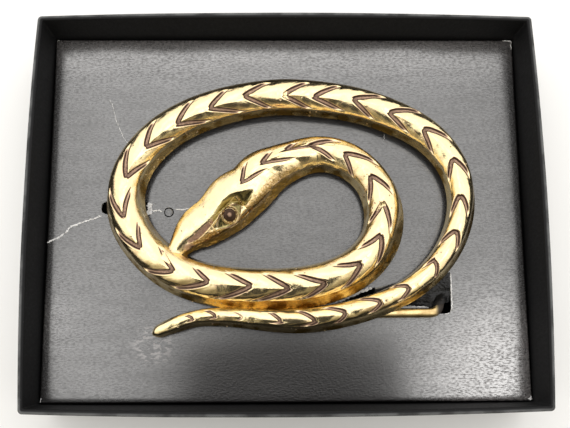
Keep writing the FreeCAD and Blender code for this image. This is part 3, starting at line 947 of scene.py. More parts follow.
EYE_ALONG = unit(EYE_BACK - EYE_FRONT)
EYE_HALF = np.linalg.norm(EYE_BACK - EYE_FRONT) / 2
EYE_BALL = np.array([-13.62, -1.45])


def nearest_on(path: tuple[Dent, ...], x: Array, y: Array) -> Three:
    """Distance to a path of dents, more than 0 on its right, with the depth and width there.

    Args:
        path: The dents, read as straight runs.
        x: Plan coordinates.
        y: Plan coordinates.

    Returns:
        Arrays of distance, depth and width in the shape of x.
    """
    table = np.array(path)
    steps = np.linspace(0, len(path) - 1, 40 * len(path))
    fine = np.column_stack([np.interp(steps, np.arange(len(path)), table[:, k]) for k in range(4)])
    flat = np.column_stack([x.ravel(), y.ravel()])
    gaps = np.linalg.norm(flat[:, None, :] - fine[None, :, :2], axis=2)
    best = gaps.argmin(axis=1)
    ahead = np.gradient(fine[:, :2], axis=0)[best]
    away = flat - fine[best, :2]
    side = np.sign(away[:, 0] * ahead[:, 1] - away[:, 1] * ahead[:, 0])
    distance, depth, width = (side * gaps.min(axis=1), fine[best, 2], fine[best, 3])
    return distance.reshape(x.shape), depth.reshape(x.shape), width.reshape(x.shape)


class Spine:
    """The plan curve of the casting: a natural cubic spline through the sections' six numbers
    against chord length, read afterwards by the length along it."""

    SAMPLES = 24001
    FAR_STEEPER = 0.6
    FAR_TURN = (-0.3, 0.4)

    def __init__(self, sections: tuple[Section, ...]) -> None:
        """Fits the spline and measures it.

        Args:
            sections: The casting's sections, from snout to tail.
        """
        table = np.array(sections)
        knots = length_along(table[:, :2])
        at = np.linspace(0, knots[-1], self.SAMPLES)
        self.columns = self._spline(knots, table, at)
        self.length = length_along(self.columns[:, :2])
        self.heading = unit(np.gradient(self.columns[:, :2], axis=0))
        self.stations = np.interp(knots, at, self.length)

    @staticmethod
    def _spline(knots: Array, values: Array, at: Array) -> Array:
        """A natural cubic spline: the bends at the knots solve the usual three-band system.

        Args:
            knots: Where the values are given.
            values: One row for each knot.
            at: Where they are wanted.

        Returns:
            One row for each place.
        """
        gap = np.diff(knots)[:, None]
        slope = np.diff(values, axis=0) / gap
        count = len(knots)
        bands = np.eye(count)
        inner = np.arange(1, count - 1)
        bands[inner, inner - 1] = gap[:-1, 0]
        bands[inner, inner] = 2 * (gap[:-1, 0] + gap[1:, 0])
        bands[inner, inner + 1] = gap[1:, 0]
        right = np.zeros_like(values)
        right[1:-1] = 6 * np.diff(slope, axis=0)
        bend = np.linalg.solve(bands, right)
        k = np.clip(np.searchsorted(knots, at) - 1, 0, count - 2)
        t = (at - knots[k])[:, None]
        g = gap[k]
        b = slope[k] - g * (2 * bend[k] + bend[k + 1]) / 6
        return values[k] + t * (b + t * (bend[k] / 2 + t * (bend[k + 1] - bend[k]) / (6 * g)))

    def read(self, length: Array) -> dict[str, Array]:
        """Reads the spine; a side is steeper where it faces the far end of the box.

        Args:
            length: Lengths along it.

        Returns:
            The section's numbers and the direction there, by name.
        """
        names = Section._fields
        found = {n: np.interp(length, self.length, self.columns[:, k]) for k, n in enumerate(names)}
        for k, n in enumerate(("ahead_x", "ahead_y")):
            found[n] = np.interp(length, self.length, self.heading[:, k])
        for side, ahead in (("left", found["ahead_x"]), ("right", -found["ahead_x"])):
            found[side] = found[side] * (1 - self.FAR_STEEPER * smoothstep(*self.FAR_TURN, ahead))
        return found


@dataclass
class SnakeCasting:
    """The whole casting: three overlapping spans of one skin, joined, and a finer eye."""

    palette: Palette
    edge_rise: float = 0.58
    dome_columns: int = 57
    side_shares: tuple[float, ...] = (0.02, 0.08, 0.2, 0.36, 0.55, 0.74, 0.9, 1.0)
    back_columns: int = 3
    near_rows: tuple[float, ...] = (-0.85, -0.62, -0.5, -0.41, -0.32, -0.24, -0.1, 0.1, 0.24, 0.32,
                                    0.41, 0.5, 0.66, 0.9)
    between_rows: int = 9
    head_rows: int = 84
    tail_rows: int = 26
    groove_deep: float = 0.46
    groove_wide: float = 0.98
    groove_wall: float = 0.20
    lip_rise: float = 0.10
    shoulder_rise: float = 0.05
    behind_deep: float = 0.42
    arm_narrowing: float = 0.42
    point_round: float = 0.13
    late_round: float = 0.32
    pillow: float = 0.24
    span_marks: tuple[int, int] = (6, 21)
    full_size: float = 3.7
    slope_outside: float = 2.6
    dome_ripple: float = 0.045
    side_wobble: float = 0.10
    edge_wave: float = 0.07
    edge_proud: float = 0.05
    eye_wide: float = 2.05
    ball_radius: float = 1.55
    ball_rise: float = 0.62
    socket_deep: float = 0.42
    ring_deep: float = 0.30
    ring_rise: float = 0.34
    patch_half: tuple[float, float] = (4.5, 2.5)
    patch_points: tuple[int, int] = (150, 84)
    patch_bed: float = 0.55
    patch_thick: float = 1.1
    snout_rows: int = 34
    merged_rows: int = 22
    ring_marks: tuple[int, int] = (11, 15)

    def __post_init__(self) -> None:
        """Lays out the spine and the points of the V marks along it."""
        self.spine = Spine(HEAD_SECTIONS + BODY_SECTIONS + TAIL_SECTIONS)
        first = len(HEAD_SECTIONS)
        marks = np.array(MARKS)
        self.mark = {name: marks[:, k] for k, name in enumerate(Mark._fields)}
        self.apex = self.spine.stations[first:first + len(MARKS)] + self.mark["ahead"]
        self.size = np.clip(np.array([s.half for s in BODY_SECTIONS]) / self.full_size, 0.58, 1.0)
        at = self.spine.read(self.apex)
        dome = self._dome(at)
        flat = at["half"] - np.minimum(1.25, 0.3 * at["half"])
        for name, lateral in (("point", self.mark["lean"] * flat), ("left_end", self.mark["left_end"]),
                              ("right_end", self.mark["right_end"])):
            sine = np.clip((lateral - dome["middle"]) / dome["radius"], -0.999, 0.999)
            self.mark[name] = np.clip(np.arcsin(sine) / dome["turn"], -0.94, 0.94)

    def _dome(self, at: dict[str, Array]) -> dict[str, Array]:
        """The dome's arc: through both edge lines and the crown, so its half turn is twice the
        arc tangent of its rise over its half chord.

        Args:
            at: The section's numbers.

        Returns:
            The arc's edges, rise, half turn, middle, radius and half chord.
        """
        left_edge = at["half"] - at["left"]
        right_edge = at["half"] - at["right"]
        rise = self.edge_rise * at["crown"]
        chord = (left_edge + right_edge) / 2
        turn = 2 * np.arctan((at["crown"] - rise) / chord)
        return {"left_edge": left_edge, "right_edge": right_edge, "rise": rise, "turn": turn,
                "middle": (left_edge - right_edge) / 2, "radius": chord / np.sin(turn), "chord": chord}

    def height_over(self, x: Array, y: Array, low: float, high: float) -> Array:
        """Height of the plain dome above the back at plan points, found by the nearest point of
        the spine between two lengths; it falls away steeply outside the edge lines.

        Args:
            x: Plan coordinates.
            y: Plan coordinates.
            low: Where on the spine the search starts.
            high: Where it ends.

        Returns:
            Heights in the shape of x.
        """
        lengths = np.linspace(low, high, 260)
        at = self.spine.read(lengths)
        gap_x = x.ravel()[:, None] - at["x"]
        gap_y = y.ravel()[:, None] - at["y"]
        best = (gap_x ** 2 + gap_y ** 2).argmin(axis=1)
        pick = np.arange(len(best))
        side = gap_y[pick, best] * at["ahead_x"][best] - gap_x[pick, best] * at["ahead_y"][best]
        dome = self._dome(at)
        offset = side - dome["middle"][best]
        chord, radius = dome["chord"][best], dome["radius"][best]
        inside = np.clip(np.abs(offset), 0, chord * 0.999)
        height = at["crown"][best] - radius + np.sqrt(np.maximum(radius ** 2 - inside ** 2, 0))
        return (height - self.slope_outside * np.maximum(np.abs(offset) - chord, 0)).reshape(x.shape)

    def _along_arm(self, k: int, share: Array) -> Array:
        """How far out on an arm of mark k a share of the dome lies.

        Args:
            k: The mark.
            share: Shares of the dome, 1 at its left edge and -1 at its right.

        Returns:
            0 at the point, 1 at the arm's end.
        """
        point = self.mark["point"][k]
        left, right = self.mark["left_end"][k] - point, point - self.mark["right_end"][k]
        return np.where(share > point, (share - point) / left, (point - share) / right)

    def _reach(self, k: int, share: Array) -> Array:
        """How far behind its point the V of mark k lies: straight arms with a rounded point,
        root(t^2 + r^2) less r, that turn square to the spine past their ends.

        Args:
            k: The mark.
            share: Shares of the dome.

        Returns:
            Lengths towards the tail.
        """
        t = self._along_arm(k, share)
        full = np.where(share > self.mark["point"][k], self.mark["left"][k], self.mark["right"][k])
        r = self.point_round + self.late_round * float(smoothstep(23.0, 29.0, np.array(k)))
        inside = (np.sqrt(t * t + r * r) - r) / (math.sqrt(1 + r * r) - r)
        past = 1 + 0.3 * (1 - np.exp(-np.maximum(t - 1, 0) / 0.3))
        return full * np.where(t > 1, past, inside)

    def _stretch(self, k: int, share: Array) -> Array:
        """Length along the spine of one millimetre square to the arm of mark k.

        Args:
            k: The mark.
            share: Shares of the dome.

        Returns:
            Lengths, 1 where the mark runs square to the spine.
        """
        step = 0.02
        after, before = np.clip(share + step, -1, 1), np.clip(share - step, -1, 1)
        slope = self._reach(k, after) - self._reach(k, before)
        dome = self._dome(self.spine.read(np.array([self.apex[k]])))
        return np.sqrt(1 + (slope / ((after - before) * dome["chord"][0])) ** 2)

    def _row_lengths(self, share: Array) -> Two:
        """Length along the spine of each point of the grid, V-shaped rows close round each mark.

        Args:
            share: The dome share of each column, held at the edges beyond them.

        Returns:
            Lengths, rows by columns, and the row where each mark's own rows start.
        """
        rows: list[Array] = []
        starts: list[int] = []
        opening = self.apex[0] + self._reach(0, share) + self.near_rows[0] * self._stretch(0, share)
        rows += [opening * f for f in np.linspace(0, 1, self.head_rows, endpoint=False)]
        for k in range(len(MARKS)):
            starts.append(len(rows))
            line, stretch = self.apex[k] + self._reach(k, share), self._stretch(k, share)
            rows += [line + offset * stretch for offset in self.near_rows]
            leave = rows[-1]
            if k + 1 < len(MARKS):
                enter = (self.apex[k + 1] + self._reach(k + 1, share)
                         + self.near_rows[0] * self._stretch(k + 1, share))
                rows += [leave + (enter - leave) * f
                         for f in np.linspace(0, 1, self.between_rows + 1, endpoint=False)[1:]]
        end = self.spine.length[-1]
        rows += [leave + (end - leave) * math.sin(f * math.pi / 2)
                 for f in np.linspace(0, 1, self.tail_rows + 1)[1:]]
        return np.array(rows), np.array(starts)

    def _marks_relief(self, length: Array, share: Array) -> Two:
        """Height of the V marks and of the scales between them.

        A mark is a flat-bottomed channel with a small lip on the head side and a rounded
        shoulder on the tail side; a scale swells as half a sine from mark to mark.

        Args:
            length: Lengths along the spine.
            share: Shares of the dome.

        Returns:
            The height, and the mask of the cuts.
        """
        relief = np.zeros_like(length)
        cut = np.zeros_like(length)
        lines = [self.apex[k] + self._reach(k, share) for k in range(len(MARKS))]
        for k, line in enumerate(lines):
            cut_deep = self.mark["deep"][k]
            size = self.size[k] * cut_deep ** 0.5
            arm = self._along_arm(k, share)
            out = np.minimum(arm, 1.0)
            apart = (length - line) / self._stretch(k, share)
            half = self.groove_wide * size * (1 - self.arm_narrowing * out) / 2
            wall = self.groove_wall * size
            trough = smoothstep(0.0, 1.0, (half + wall / 2 - np.abs(apart)) / wall)
            fade = 1 - smoothstep(0.88, 1.06, arm)
            deep = self.groove_deep * cut_deep * size * (1 - 0.3 * out)
            lip = (self.lip_rise * bell(apart, -half - 0.26, 0.15)
                   + self.shoulder_rise * bell(apart, half + 0.22, 0.14))
            behind = np.where(apart > half, np.exp(-np.maximum(apart - half, 0) / 0.95), 0.0)
            behind = behind * (1 - 0.7 * out)
            relief = relief + fade * (-deep * trough + size * lip - self.behind_deep * size * behind)
            wall_line = bell(np.abs(apart), half - wall * 0.2, wall * 0.9)
            floor = trough * (0.28 + 0.4 * (1 - out))
            dark = np.maximum(floor, 0.95 * wall_line) * fade * (0.4 + 0.6 * cut_deep)
            cut = np.maximum(cut, dark)
            if k + 1 < len(lines):
                f = np.clip((length - line) / (lines[k + 1] - line), 0, 1)
                relief = relief + self.pillow * size * np.sin(math.pi * f) * (1 - np.abs(share) ** 3)
        return relief, cut

    def _head_relief(self, x: Array, y: Array) -> Three:
        """The head's face.

        Between the brow line and the lid line the face slopes down in proportion to the way
        across and climbs back in a short wall at the lid; the lids and the cheek are bells
        across their paths, and below the cheek the face falls off.

        Args:
            x: Plan coordinates.
            y: Plan coordinates.

        Returns:
            The height, the mask of the snout tip's stain and of painted shade in the crease and the nostril,
            and the mask of olive painted shade in its hollow.
        """
        below, depth, _ = nearest_on(BROW, x, y)
        above = -nearest_on(LID, x, y)[0]
        across = np.clip(below / np.maximum(below + np.maximum(above, 0), 0.05), 0, 1) * (below > 0)
        wall = smoothstep(0.0, 0.34, above)
        slope = np.sqrt(across * across + 0.004) - 0.063
        relief = -depth * slope * wall
        # Painted shade along the crease where the brow meets the lid, towards the snout.
        crease = smoothstep(-17.0, -18.2, x) * wall * smoothstep(0.05, 0.3, below)
        crease = crease * smoothstep(0.0, 0.3, depth)
        stain_and_shade = crease * (0.50 + 0.4 * bell(above, 0.12, 0.16))
        for path in (UPPER_LID, CHEEK):
            apart, height, width = nearest_on(path, x, y)
            relief = relief - height * bell(apart, 0.0, width)
        relief = relief - self.slope_outside * np.abs(height) * smoothstep(0.1, 1.5, apart)
        away = np.hypot(x - NOSTRIL.x, y - NOSTRIL.y)
        relief = relief - NOSTRIL.depth * bell(away, NOSTRIL.width * 0.55, NOSTRIL.width * 0.45)
        relief = relief + 0.15 * bell(away, NOSTRIL.width * 1.7, 0.25)
        # Painted shade in the nostril's pit.
        stain_and_shade = np.maximum(stain_and_shade, bell(away, NOSTRIL.width * 0.6, NOSTRIL.width * 0.5))
        tip = smoothstep(1.7, 0.6, np.hypot((x + 23.2) * 0.55, (y + 9.0) * 1.1))
        stain_and_shade = np.maximum(stain_and_shade, 0.36 * tip)
        # Olive painted shade in the hollow between brow and lid.
        hollow = smoothstep(0.02, 0.22, below) * wall * smoothstep(0.1, 0.6, depth)
        return relief, stain_and_shade, hollow

    def _eye_frame(self, x: Array, y: Array) -> Three:
        """Plan points seen from the eye's axis.

        Args:
            x: Plan coordinates.
            y: Plan coordinates.

        Returns:
            Distances along it and across it, and the way to the patch's border, which is 1.
        """
        gap_x, gap_y = x - EYE_CENTRE[0], y - EYE_CENTRE[1]
        a = gap_x * EYE_ALONG[0] + gap_y * EYE_ALONG[1]
        b = gap_y * EYE_ALONG[0] - gap_x * EYE_ALONG[1]
        return a, b, np.maximum(np.abs(a) / self.patch_half[0], np.abs(b) / self.patch_half[1])

    def _eye_relief(self, x: Array, y: Array) -> Three:
        """The eye: an almond recess whose half width falls as 1 - t^2, and a ball that stands
        in it within a dark ring and a fine bright one.

        Args:
            x: Plan coordinates.
            y: Plan coordinates.

        Returns:
            The height, the mask of the dark ball and of painted shade in its ring and along the lids, and the
            mask of olive painted shade in the socket.
        """
        a, b, _ = self._eye_frame(x, y)
        t = np.clip(a / EYE_HALF, -1, 1)
        border = self.eye_wide * (1 - t * t) ** 0.85
        outside = np.abs(b) - border + np.maximum(np.abs(a) - EYE_HALF, 0)
        recess = smoothstep(0.10, -0.30, outside)
        away = np.hypot(x - EYE_BALL[0], y - EYE_BALL[1])
        r = self.ball_radius
        ball = self.ball_rise * np.sqrt(np.maximum(1 - (away / r) ** 2, 0))
        ring = bell(away, r + 0.34, 0.15)
        relief = -self.socket_deep * recess + ball - self.ring_deep * bell(away, r + 0.04, 0.15)
        relief = relief + self.ring_rise * ring
        iris = smoothstep(r * 1.04, r * 0.94, away) * (1.15 - 0.75 * bell(away, r * 0.1, r * 0.34))
        iris = iris - 0.35 * bell(away, r * 0.72, r * 0.08)
        # Olive painted shade in the socket round the ball.
        socket = recess * smoothstep(r + 0.45, r + 0.7, away)
        lids = 0.8 * bell(outside, -0.10, 0.14) * smoothstep(r + 0.5, r + 0.7, away)
        # Painted shade in the ring round the ball and along the lids; none on the raised bright ring.
        stain_and_shade = np.maximum(np.maximum(iris, bell(away, r + 0.04, 0.18)), lids)
        return relief, np.clip(stain_and_shade - 0.9 * ring, 0, 1), socket

    def _columns(self) -> Three:
        """The columns of the grid, once round: dome, left side, back, right side.

        Returns:
            Each column's dome share, how far down a side it is, and its place across the back,
            which is -1 elsewhere.
        """
        dome = np.linspace(-1, 1, self.dome_columns)
        drop = np.array(self.side_shares)
        back = np.linspace(0, 1, self.back_columns + 2)[1:-1]
        share = np.concatenate([dome, np.ones(len(drop) + len(back)), -np.ones(len(drop))])
        down = np.concatenate([np.zeros(len(dome)), drop, np.ones(len(back)), drop[::-1]])
        across = np.concatenate([-np.ones(len(dome) + len(drop)), back, -np.ones(len(drop))])
        return share, down, across

    def _skin(self) -> tuple[Array, Masks, Array]:
        """The whole casting as one grid.

        Returns:
            Points, masks, and the rows where the marks start.
        """
        share, down, across = self._columns()
        length, starts = self._row_lengths(share)
        on_back = across >= 0
        log.info("closest rows: %.3f mm", float(np.diff(length[:, :self.dome_columns], axis=0).min()))
        edge_left = length[:, self.dome_columns - 1][:, None]
        edge_right = length[:, 0][:, None]
        length = np.where(on_back, edge_left + (edge_right - edge_left) * across, length)
        at = self.spine.read(length)
        dome = self._dome(at)
        relief, cut = self._marks_relief(length, np.broadcast_to(share, length.shape))
        everywhere = np.ones_like(length)
        ripple = self.dome_ripple * waves(3, 9, 8.0, length, share * 4 * everywhere) * (1 - 0.8 * share ** 6)
        on_dome = down == 0
        angle = dome["turn"] * share
        lift = (relief + ripple) * on_dome
        lateral = dome["middle"] + (dome["radius"] + lift) * np.sin(angle)
        height = at["crown"] - dome["radius"] + (dome["radius"] + lift) * np.cos(angle)
        edge = np.where(share > 0, dome["left_edge"], -dome["right_edge"])
        flare = np.where(share > 0, at["left"], -at["right"])
        shape = np.where(np.abs(flare) > 1.5, 1.15, 1.55)
        wobble = self.side_wobble * waves(11, 6, 7.0, length, share * 3 * everywhere)
        wobble = wobble * np.minimum(at["half"] / 4.5, 1) * np.minimum(np.abs(flare) / 1.1, 1)
        side_lateral = edge + flare * down ** shape + np.sign(share) * wobble * down * (1 - down) * 2.4
        side_height = dome["rise"] * (1 - down)
        back_lateral = at["half"] * (1 - 2 * across)
        lateral = np.where(on_dome, lateral, np.where(on_back, back_lateral, side_lateral))
        height = np.where(on_dome, height, np.where(on_back, 0.0, side_height))
        edge_wave = self.edge_wave * waves(17, 6, 5.0, length, share * 3 * everywhere)
        near_edge = np.where(on_dome, smoothstep(0.86, 1.0, np.abs(share)), 1 - smoothstep(0.0, 0.3, down))
        bead = (edge_wave + self.edge_proud) * near_edge * (~on_back)
        height = height + bead * np.minimum(at["half"] / 4, 1) * np.minimum(np.abs(flare), 1)
        x = at["x"] - at["ahead_y"] * lateral
        y = at["y"] + at["ahead_x"] * lateral
        # Side walls get tarnish that is partly painted shade, weaker where a side faces the far end.
        far_facing = np.where(share > 0, 1, -1) * at["ahead_x"]
        band = smoothstep(0.0, 0.5, down * everywhere) * (1 - 0.45 * smoothstep(-0.5, 0.5, far_facing))
        masks = {"groove": cut * on_dome, "band": band,
                 "rough": np.zeros_like(length), "hollow": np.zeros_like(length)}
        self._shape_head(x, y, height, on_dome, share, masks)
        return np.stack([x, y, CASTING_BACK + height], axis=-1), masks, starts

    def _shape_head(self, x: Array, y: Array, height: Array, on_dome: Array,
                    share: Array, masks: Masks) -> None:
        """Adds the creases to the head's dome, sinks the bed of the finer eye, and runs the
        snout onto the coil that it meets.

        Args:
            x: The grid's plan coordinates.
            y: The grid's plan coordinates.
            height: Its height above the back, changed in place.
            on_dome: Which columns lie on the dome.
            share: Each column's share of the dome.
            masks: Its masks, changed in place.
        """
        rows = slice(0, self.head_rows + 2 * (len(self.near_rows) + self.between_rows))
        on_dome = np.broadcast_to(on_dome, height.shape)
        share = np.broadcast_to(share, height.shape)
        top = on_dome[rows]
        hx, hy = x[rows], y[rows]
        relief, stain_and_shade, hollow = self._head_relief(hx, hy)
        _, eye_dark_and_shade, _ = self._eye_relief(hx, hy)
        bed = self.patch_bed * smoothstep(0.99, 0.86, self._eye_frame(hx, hy)[2])
        height[rows] += np.where(top, relief - bed, 0)
        # The olive painted shade of the head's hollow.
        masks["hollow"][rows] = np.where(top, hollow, 0)
        # The painted shade and stains of the head and eye join the cuts' patina.
        stain_and_shade = np.where(top, np.maximum(stain_and_shade, eye_dark_and_shade), 0)
        masks["groove"][rows] = np.maximum(masks["groove"][rows], stain_and_shade)
        right_side = smoothstep(-0.35, -0.75, share[rows])
        low_cheek = right_side * smoothstep(-25.5, -23.5, hx) * smoothstep(6.0, -2.0, hx)
        masks["rough"][rows] = np.maximum(masks["rough"][rows], low_cheek)
        snout = slice(0, self.snout_rows)
        low, high = (self.spine.stations[len(HEAD_SECTIONS) + k] for k in self.ring_marks)
        ring = self.height_over(x[snout], y[snout], low, high)
        blend = np.where(share[snout] > 0, 0.9, 0.9 - 0.8 * smoothstep(0.0, -0.6, share[snout]))
        merged = smooth_max(height[snout], ring, blend)
        behind = smoothstep(self.snout_rows, self.merged_rows, np.arange(float(self.snout_rows)))
        fade = smoothstep(1.2, 2.6, height[snout]) * behind[:, None]
        sink = 0.12 * smoothstep(0.6, -0.4, height[snout] - ring)
        height[snout] += np.where(on_dome[snout], (merged - sink - height[snout]) * fade, 0)

    def _eye_patch(self) -> Shell:
        """The eye as a finer grid on the head's own surface: dome plus head relief plus eye.
        Where the dome falls below the cheek's level the patch dives into the casting.

        Returns:
            The closed patch.
        """
        cheek, dive, proud = 3.2, 2.5, 0.012
        a, b = grid_over(*(np.linspace(-half, half, count)
                           for half, count in zip(self.patch_half, self.patch_points)))
        x = EYE_CENTRE[0] + a * EYE_ALONG[0] - b * EYE_ALONG[1]
        y = EYE_CENTRE[1] + a * EYE_ALONG[1] + b * EYE_ALONG[0]
        plain = self.height_over(x, y, 2.0, self.spine.stations[len(HEAD_SECTIONS)])
        plain = plain - dive * np.maximum(cheek - plain, 0)
        relief, stain_and_shade, hollow = self._head_relief(x, y)
        eye, eye_dark_and_shade, socket = self._eye_relief(x, y)
        edge = self._eye_frame(x, y)[2]
        height = plain + relief + eye + proud - 0.10 * smoothstep(0.88, 1.0, edge)
        shell = thick_sheet(np.stack([x, y, CASTING_BACK + height], axis=-1), self.patch_thick)
        # Masks: patina with painted shade on the head and eye, no side walls, a little roughness, and olive
        # painted shade in the hollow and socket.
        masks = {"groove": np.maximum(stain_and_shade, eye_dark_and_shade), "band": np.zeros_like(a),
                 "rough": np.full_like(a, 0.15), "hollow": np.maximum(hollow, socket)}
        shell.masks = {name: np.tile(mask.ravel(), 2) for name, mask in masks.items()}
        return shell

    def build(self) -> Object:
        """Makes the casting and stands it for its solid.

        Returns:
            The casting.
        """
        grid, masks, starts = self._skin()
        cuts = [0] + [int(starts[k]) for k in self.span_marks] + [len(grid) - 1]
        spans = []
        for n, (low, high) in enumerate(zip(cuts, cuts[1:])):
            rows = slice(low, high + 1)
            part = closed_rings(grid[rows], {name: mask[rows] for name, mask in masks.items()})
            spans.append(mesh_object(f"snake_span_{n}", [part], self.palette.cast))
        eye = mesh_object("snake_eye_patch", [self._eye_patch()], self.palette.cast)
        casting = spans[0]
        casting.name = "snake"
        combine(casting, [eye] + spans[1:], "UNION")
        return finish_piece(casting, Slot.CAST, 48.0, "snake_casting")


# Bent wires


@dataclass
class BentWire:
    """A round wire along straight runs joined by arcs, its ends rounded."""

    name: str
    node: str
    points: tuple[tuple[float, float, float], ...]
    bends: tuple[float, ...]
    diameter: float
    palette: Palette
    sides: int = 28
    arc_steps: int = 10
    # Where the painted shadow starts along X, and over how long it comes in.
    painted_shadow_from: float = 35.9
    painted_shadow_over: float = 1.1

    def _path(self) -> Array:
        """The middle line: each corner gives way to an arc tangent to its two runs.

        Returns:
            Points along it.
        """
        corners = np.array(self.points)
        line = [corners[0]]
        for before, corner, after, radius in zip(corners, corners[1:], corners[2:], self.bends):
            into, out = unit(corner - before), unit(after - corner)
            turn = math.acos(float(into @ out))
            start = corner - into * radius * math.tan(turn / 2)
            inward = unit(out - into @ out * into)
            for angle in np.linspace(0, turn, self.arc_steps):
                line.append(start + radius * (into * math.sin(angle) + inward * (1 - math.cos(angle))))
        line.append(corners[-1])
        return np.array(line)

    def _rings(self, path: Array) -> Array:
        """Circles square to the path, carried along it without twist.

        Args:
            path: Points of the middle line.

        Returns:
            Points, rings by sides by 3.
        """
        ahead = unit(np.gradient(path, axis=0))
        askew = (0.3, 0.5, 0.8)
        side = np.cross(ahead[0], askew)
        sides = []
        for direction in ahead:
            side = unit(side - direction * (side @ direction))
            sides.append(side)
        across = np.array(sides)
        up = np.cross(ahead, across)
        angle = np.linspace(0, 2 * math.pi, self.sides, endpoint=False)
        round_x = np.cos(angle)[None, :, None] * across[:, None, :]
        round_y = np.sin(angle)[None, :, None] * up[:, None, :]
        return path[:, None, :] + self.diameter / 2 * (round_x + round_y)

    def build(self) -> Object:
        """Makes the wire and stands it for its solid.

        Returns:
            The wire.
        """
        rings = self._rings(self._path())
        # Painted shadow: the wire past the given X, on the near leg, is blackened.
        sunk = smoothstep(self.painted_shadow_from, self.painted_shadow_from + self.painted_shadow_over, rings[..., 0])
        sunk = sunk * (rings[..., 1] < 0)
        wire = mesh_object(self.name, [closed_rings(rings, {"sunk": sunk})], self.palette.drawn)
        return finish_piece(wire, Slot.DRAWN, 50.0, self.node)


@dataclass
class BeltParts:
    """The loop for the fixed end of the belt, and the hidden hook."""

    palette: Palette
    rod: float = 2.3
    seat: float = CASTING_BACK + 1.9
    leg_level: float = CARD_TOP + 1.3
    bar_level: float = CARD_TOP - 2.4
    low: float = -24.7
    high: float = 21.7
    low_start: float = 17.4
    high_start: float = 27.0
    corner_x: float = 36.6
    bar_x: float = 38.8
    inset: float = 5.0
    post: tuple[float, float, float] = (-39.2, 2.0, 2.4)
    foot: float = CARD_TOP - 6.4
    foot_long: float = 4.6
    loop_bends: tuple[float, ...] = (1.4, 2.6, 2.6, 2.6, 2.6, 1.4)
    hook_bends: tuple[float, ...] = (2.2,)

    def build(self) -> list[Object]:
        """Makes both wires.

        Returns:
            The loop and the hook.
        """
        leg, bar = self.leg_level, self.bar_level
        loop = ((self.low_start, self.low, self.seat), (self.low_start, self.low, leg),
                (self.corner_x, self.low, leg), (self.bar_x, self.low + self.inset, bar),
                (self.bar_x, self.high - self.inset, bar), (self.corner_x, self.high, leg),
                (self.high_start, self.high, leg), (self.high_start, self.high, self.seat))
        x, y, across = self.post
        hook = ((x, y, self.seat), (x, y, self.foot), (x - self.foot_long, y, self.foot))
        wires = (BentWire("loop_wire", "belt_loop", loop, self.loop_bends, self.rod, self.palette),
                 BentWire("hook_wire", "hook_post", hook, self.hook_bends, across, self.palette))
        return [wire.build() for wire in wires]


# The insert card


class Strip(NamedTuple):
    """A line of bare paper on the card: its name, plan points, width and how ragged it is."""

    name: str
    points: tuple[tuple[float, float], ...]
    width: float
    ragged: float


WEAR = (
    Strip("insert_crack_left", ((-59.0, -7.1), (-56.4, -5.9), (-54.5, -4.4), (-53.1, -2.9), (-50.2, -1.9),
                                (-48.0, -1.2), (-45.8, -0.3)), 0.34, 0.9),
    Strip("insert_crack_middle", ((-33.6, 0.7), (-32.0, 1.0), (-30.6, 0.6)), 0.30, 0.8),
    Strip("insert_crack_right", ((-27.8, 1.2), (-25.6, 1.1), (-23.9, 1.5)), 0.20, 0.7),
    Strip("insert_scratch_far", ((-45.0, 29.8), (-44.1, 28.3), (-42.9, 23.8), (-40.6, 18.9), (-39.6, 17.9)),
          0.10, 1.0),
    Strip("insert_slit_right", ((25.1, 20.6), (25.0, 18.9)), 0.08, 0.8),
    Strip("insert_tear_bit", ((-34.3, 2.9), (-33.8, 1.6), (-34.4, -0.2)), 1.15, 0.6),
    Strip("insert_corner_far_left", ((-58.9, 45.5), (-58.3, 45.6)), 0.25, 0.8),
    Strip("insert_corner_far_right", ((56.6, 45.6), (58.8, 45.5), (58.8, 43.2)), 0.28, 0.6),
    Strip("insert_corner_near_right", ((58.0, -45.3), (58.8, -45.4), (58.8, -44.6)), 0.5, 0.7),
    Strip("insert_corner_near_left", ((-58.8, -44.4), (-58.8, -45.5)), 0.22, 0.7),
)


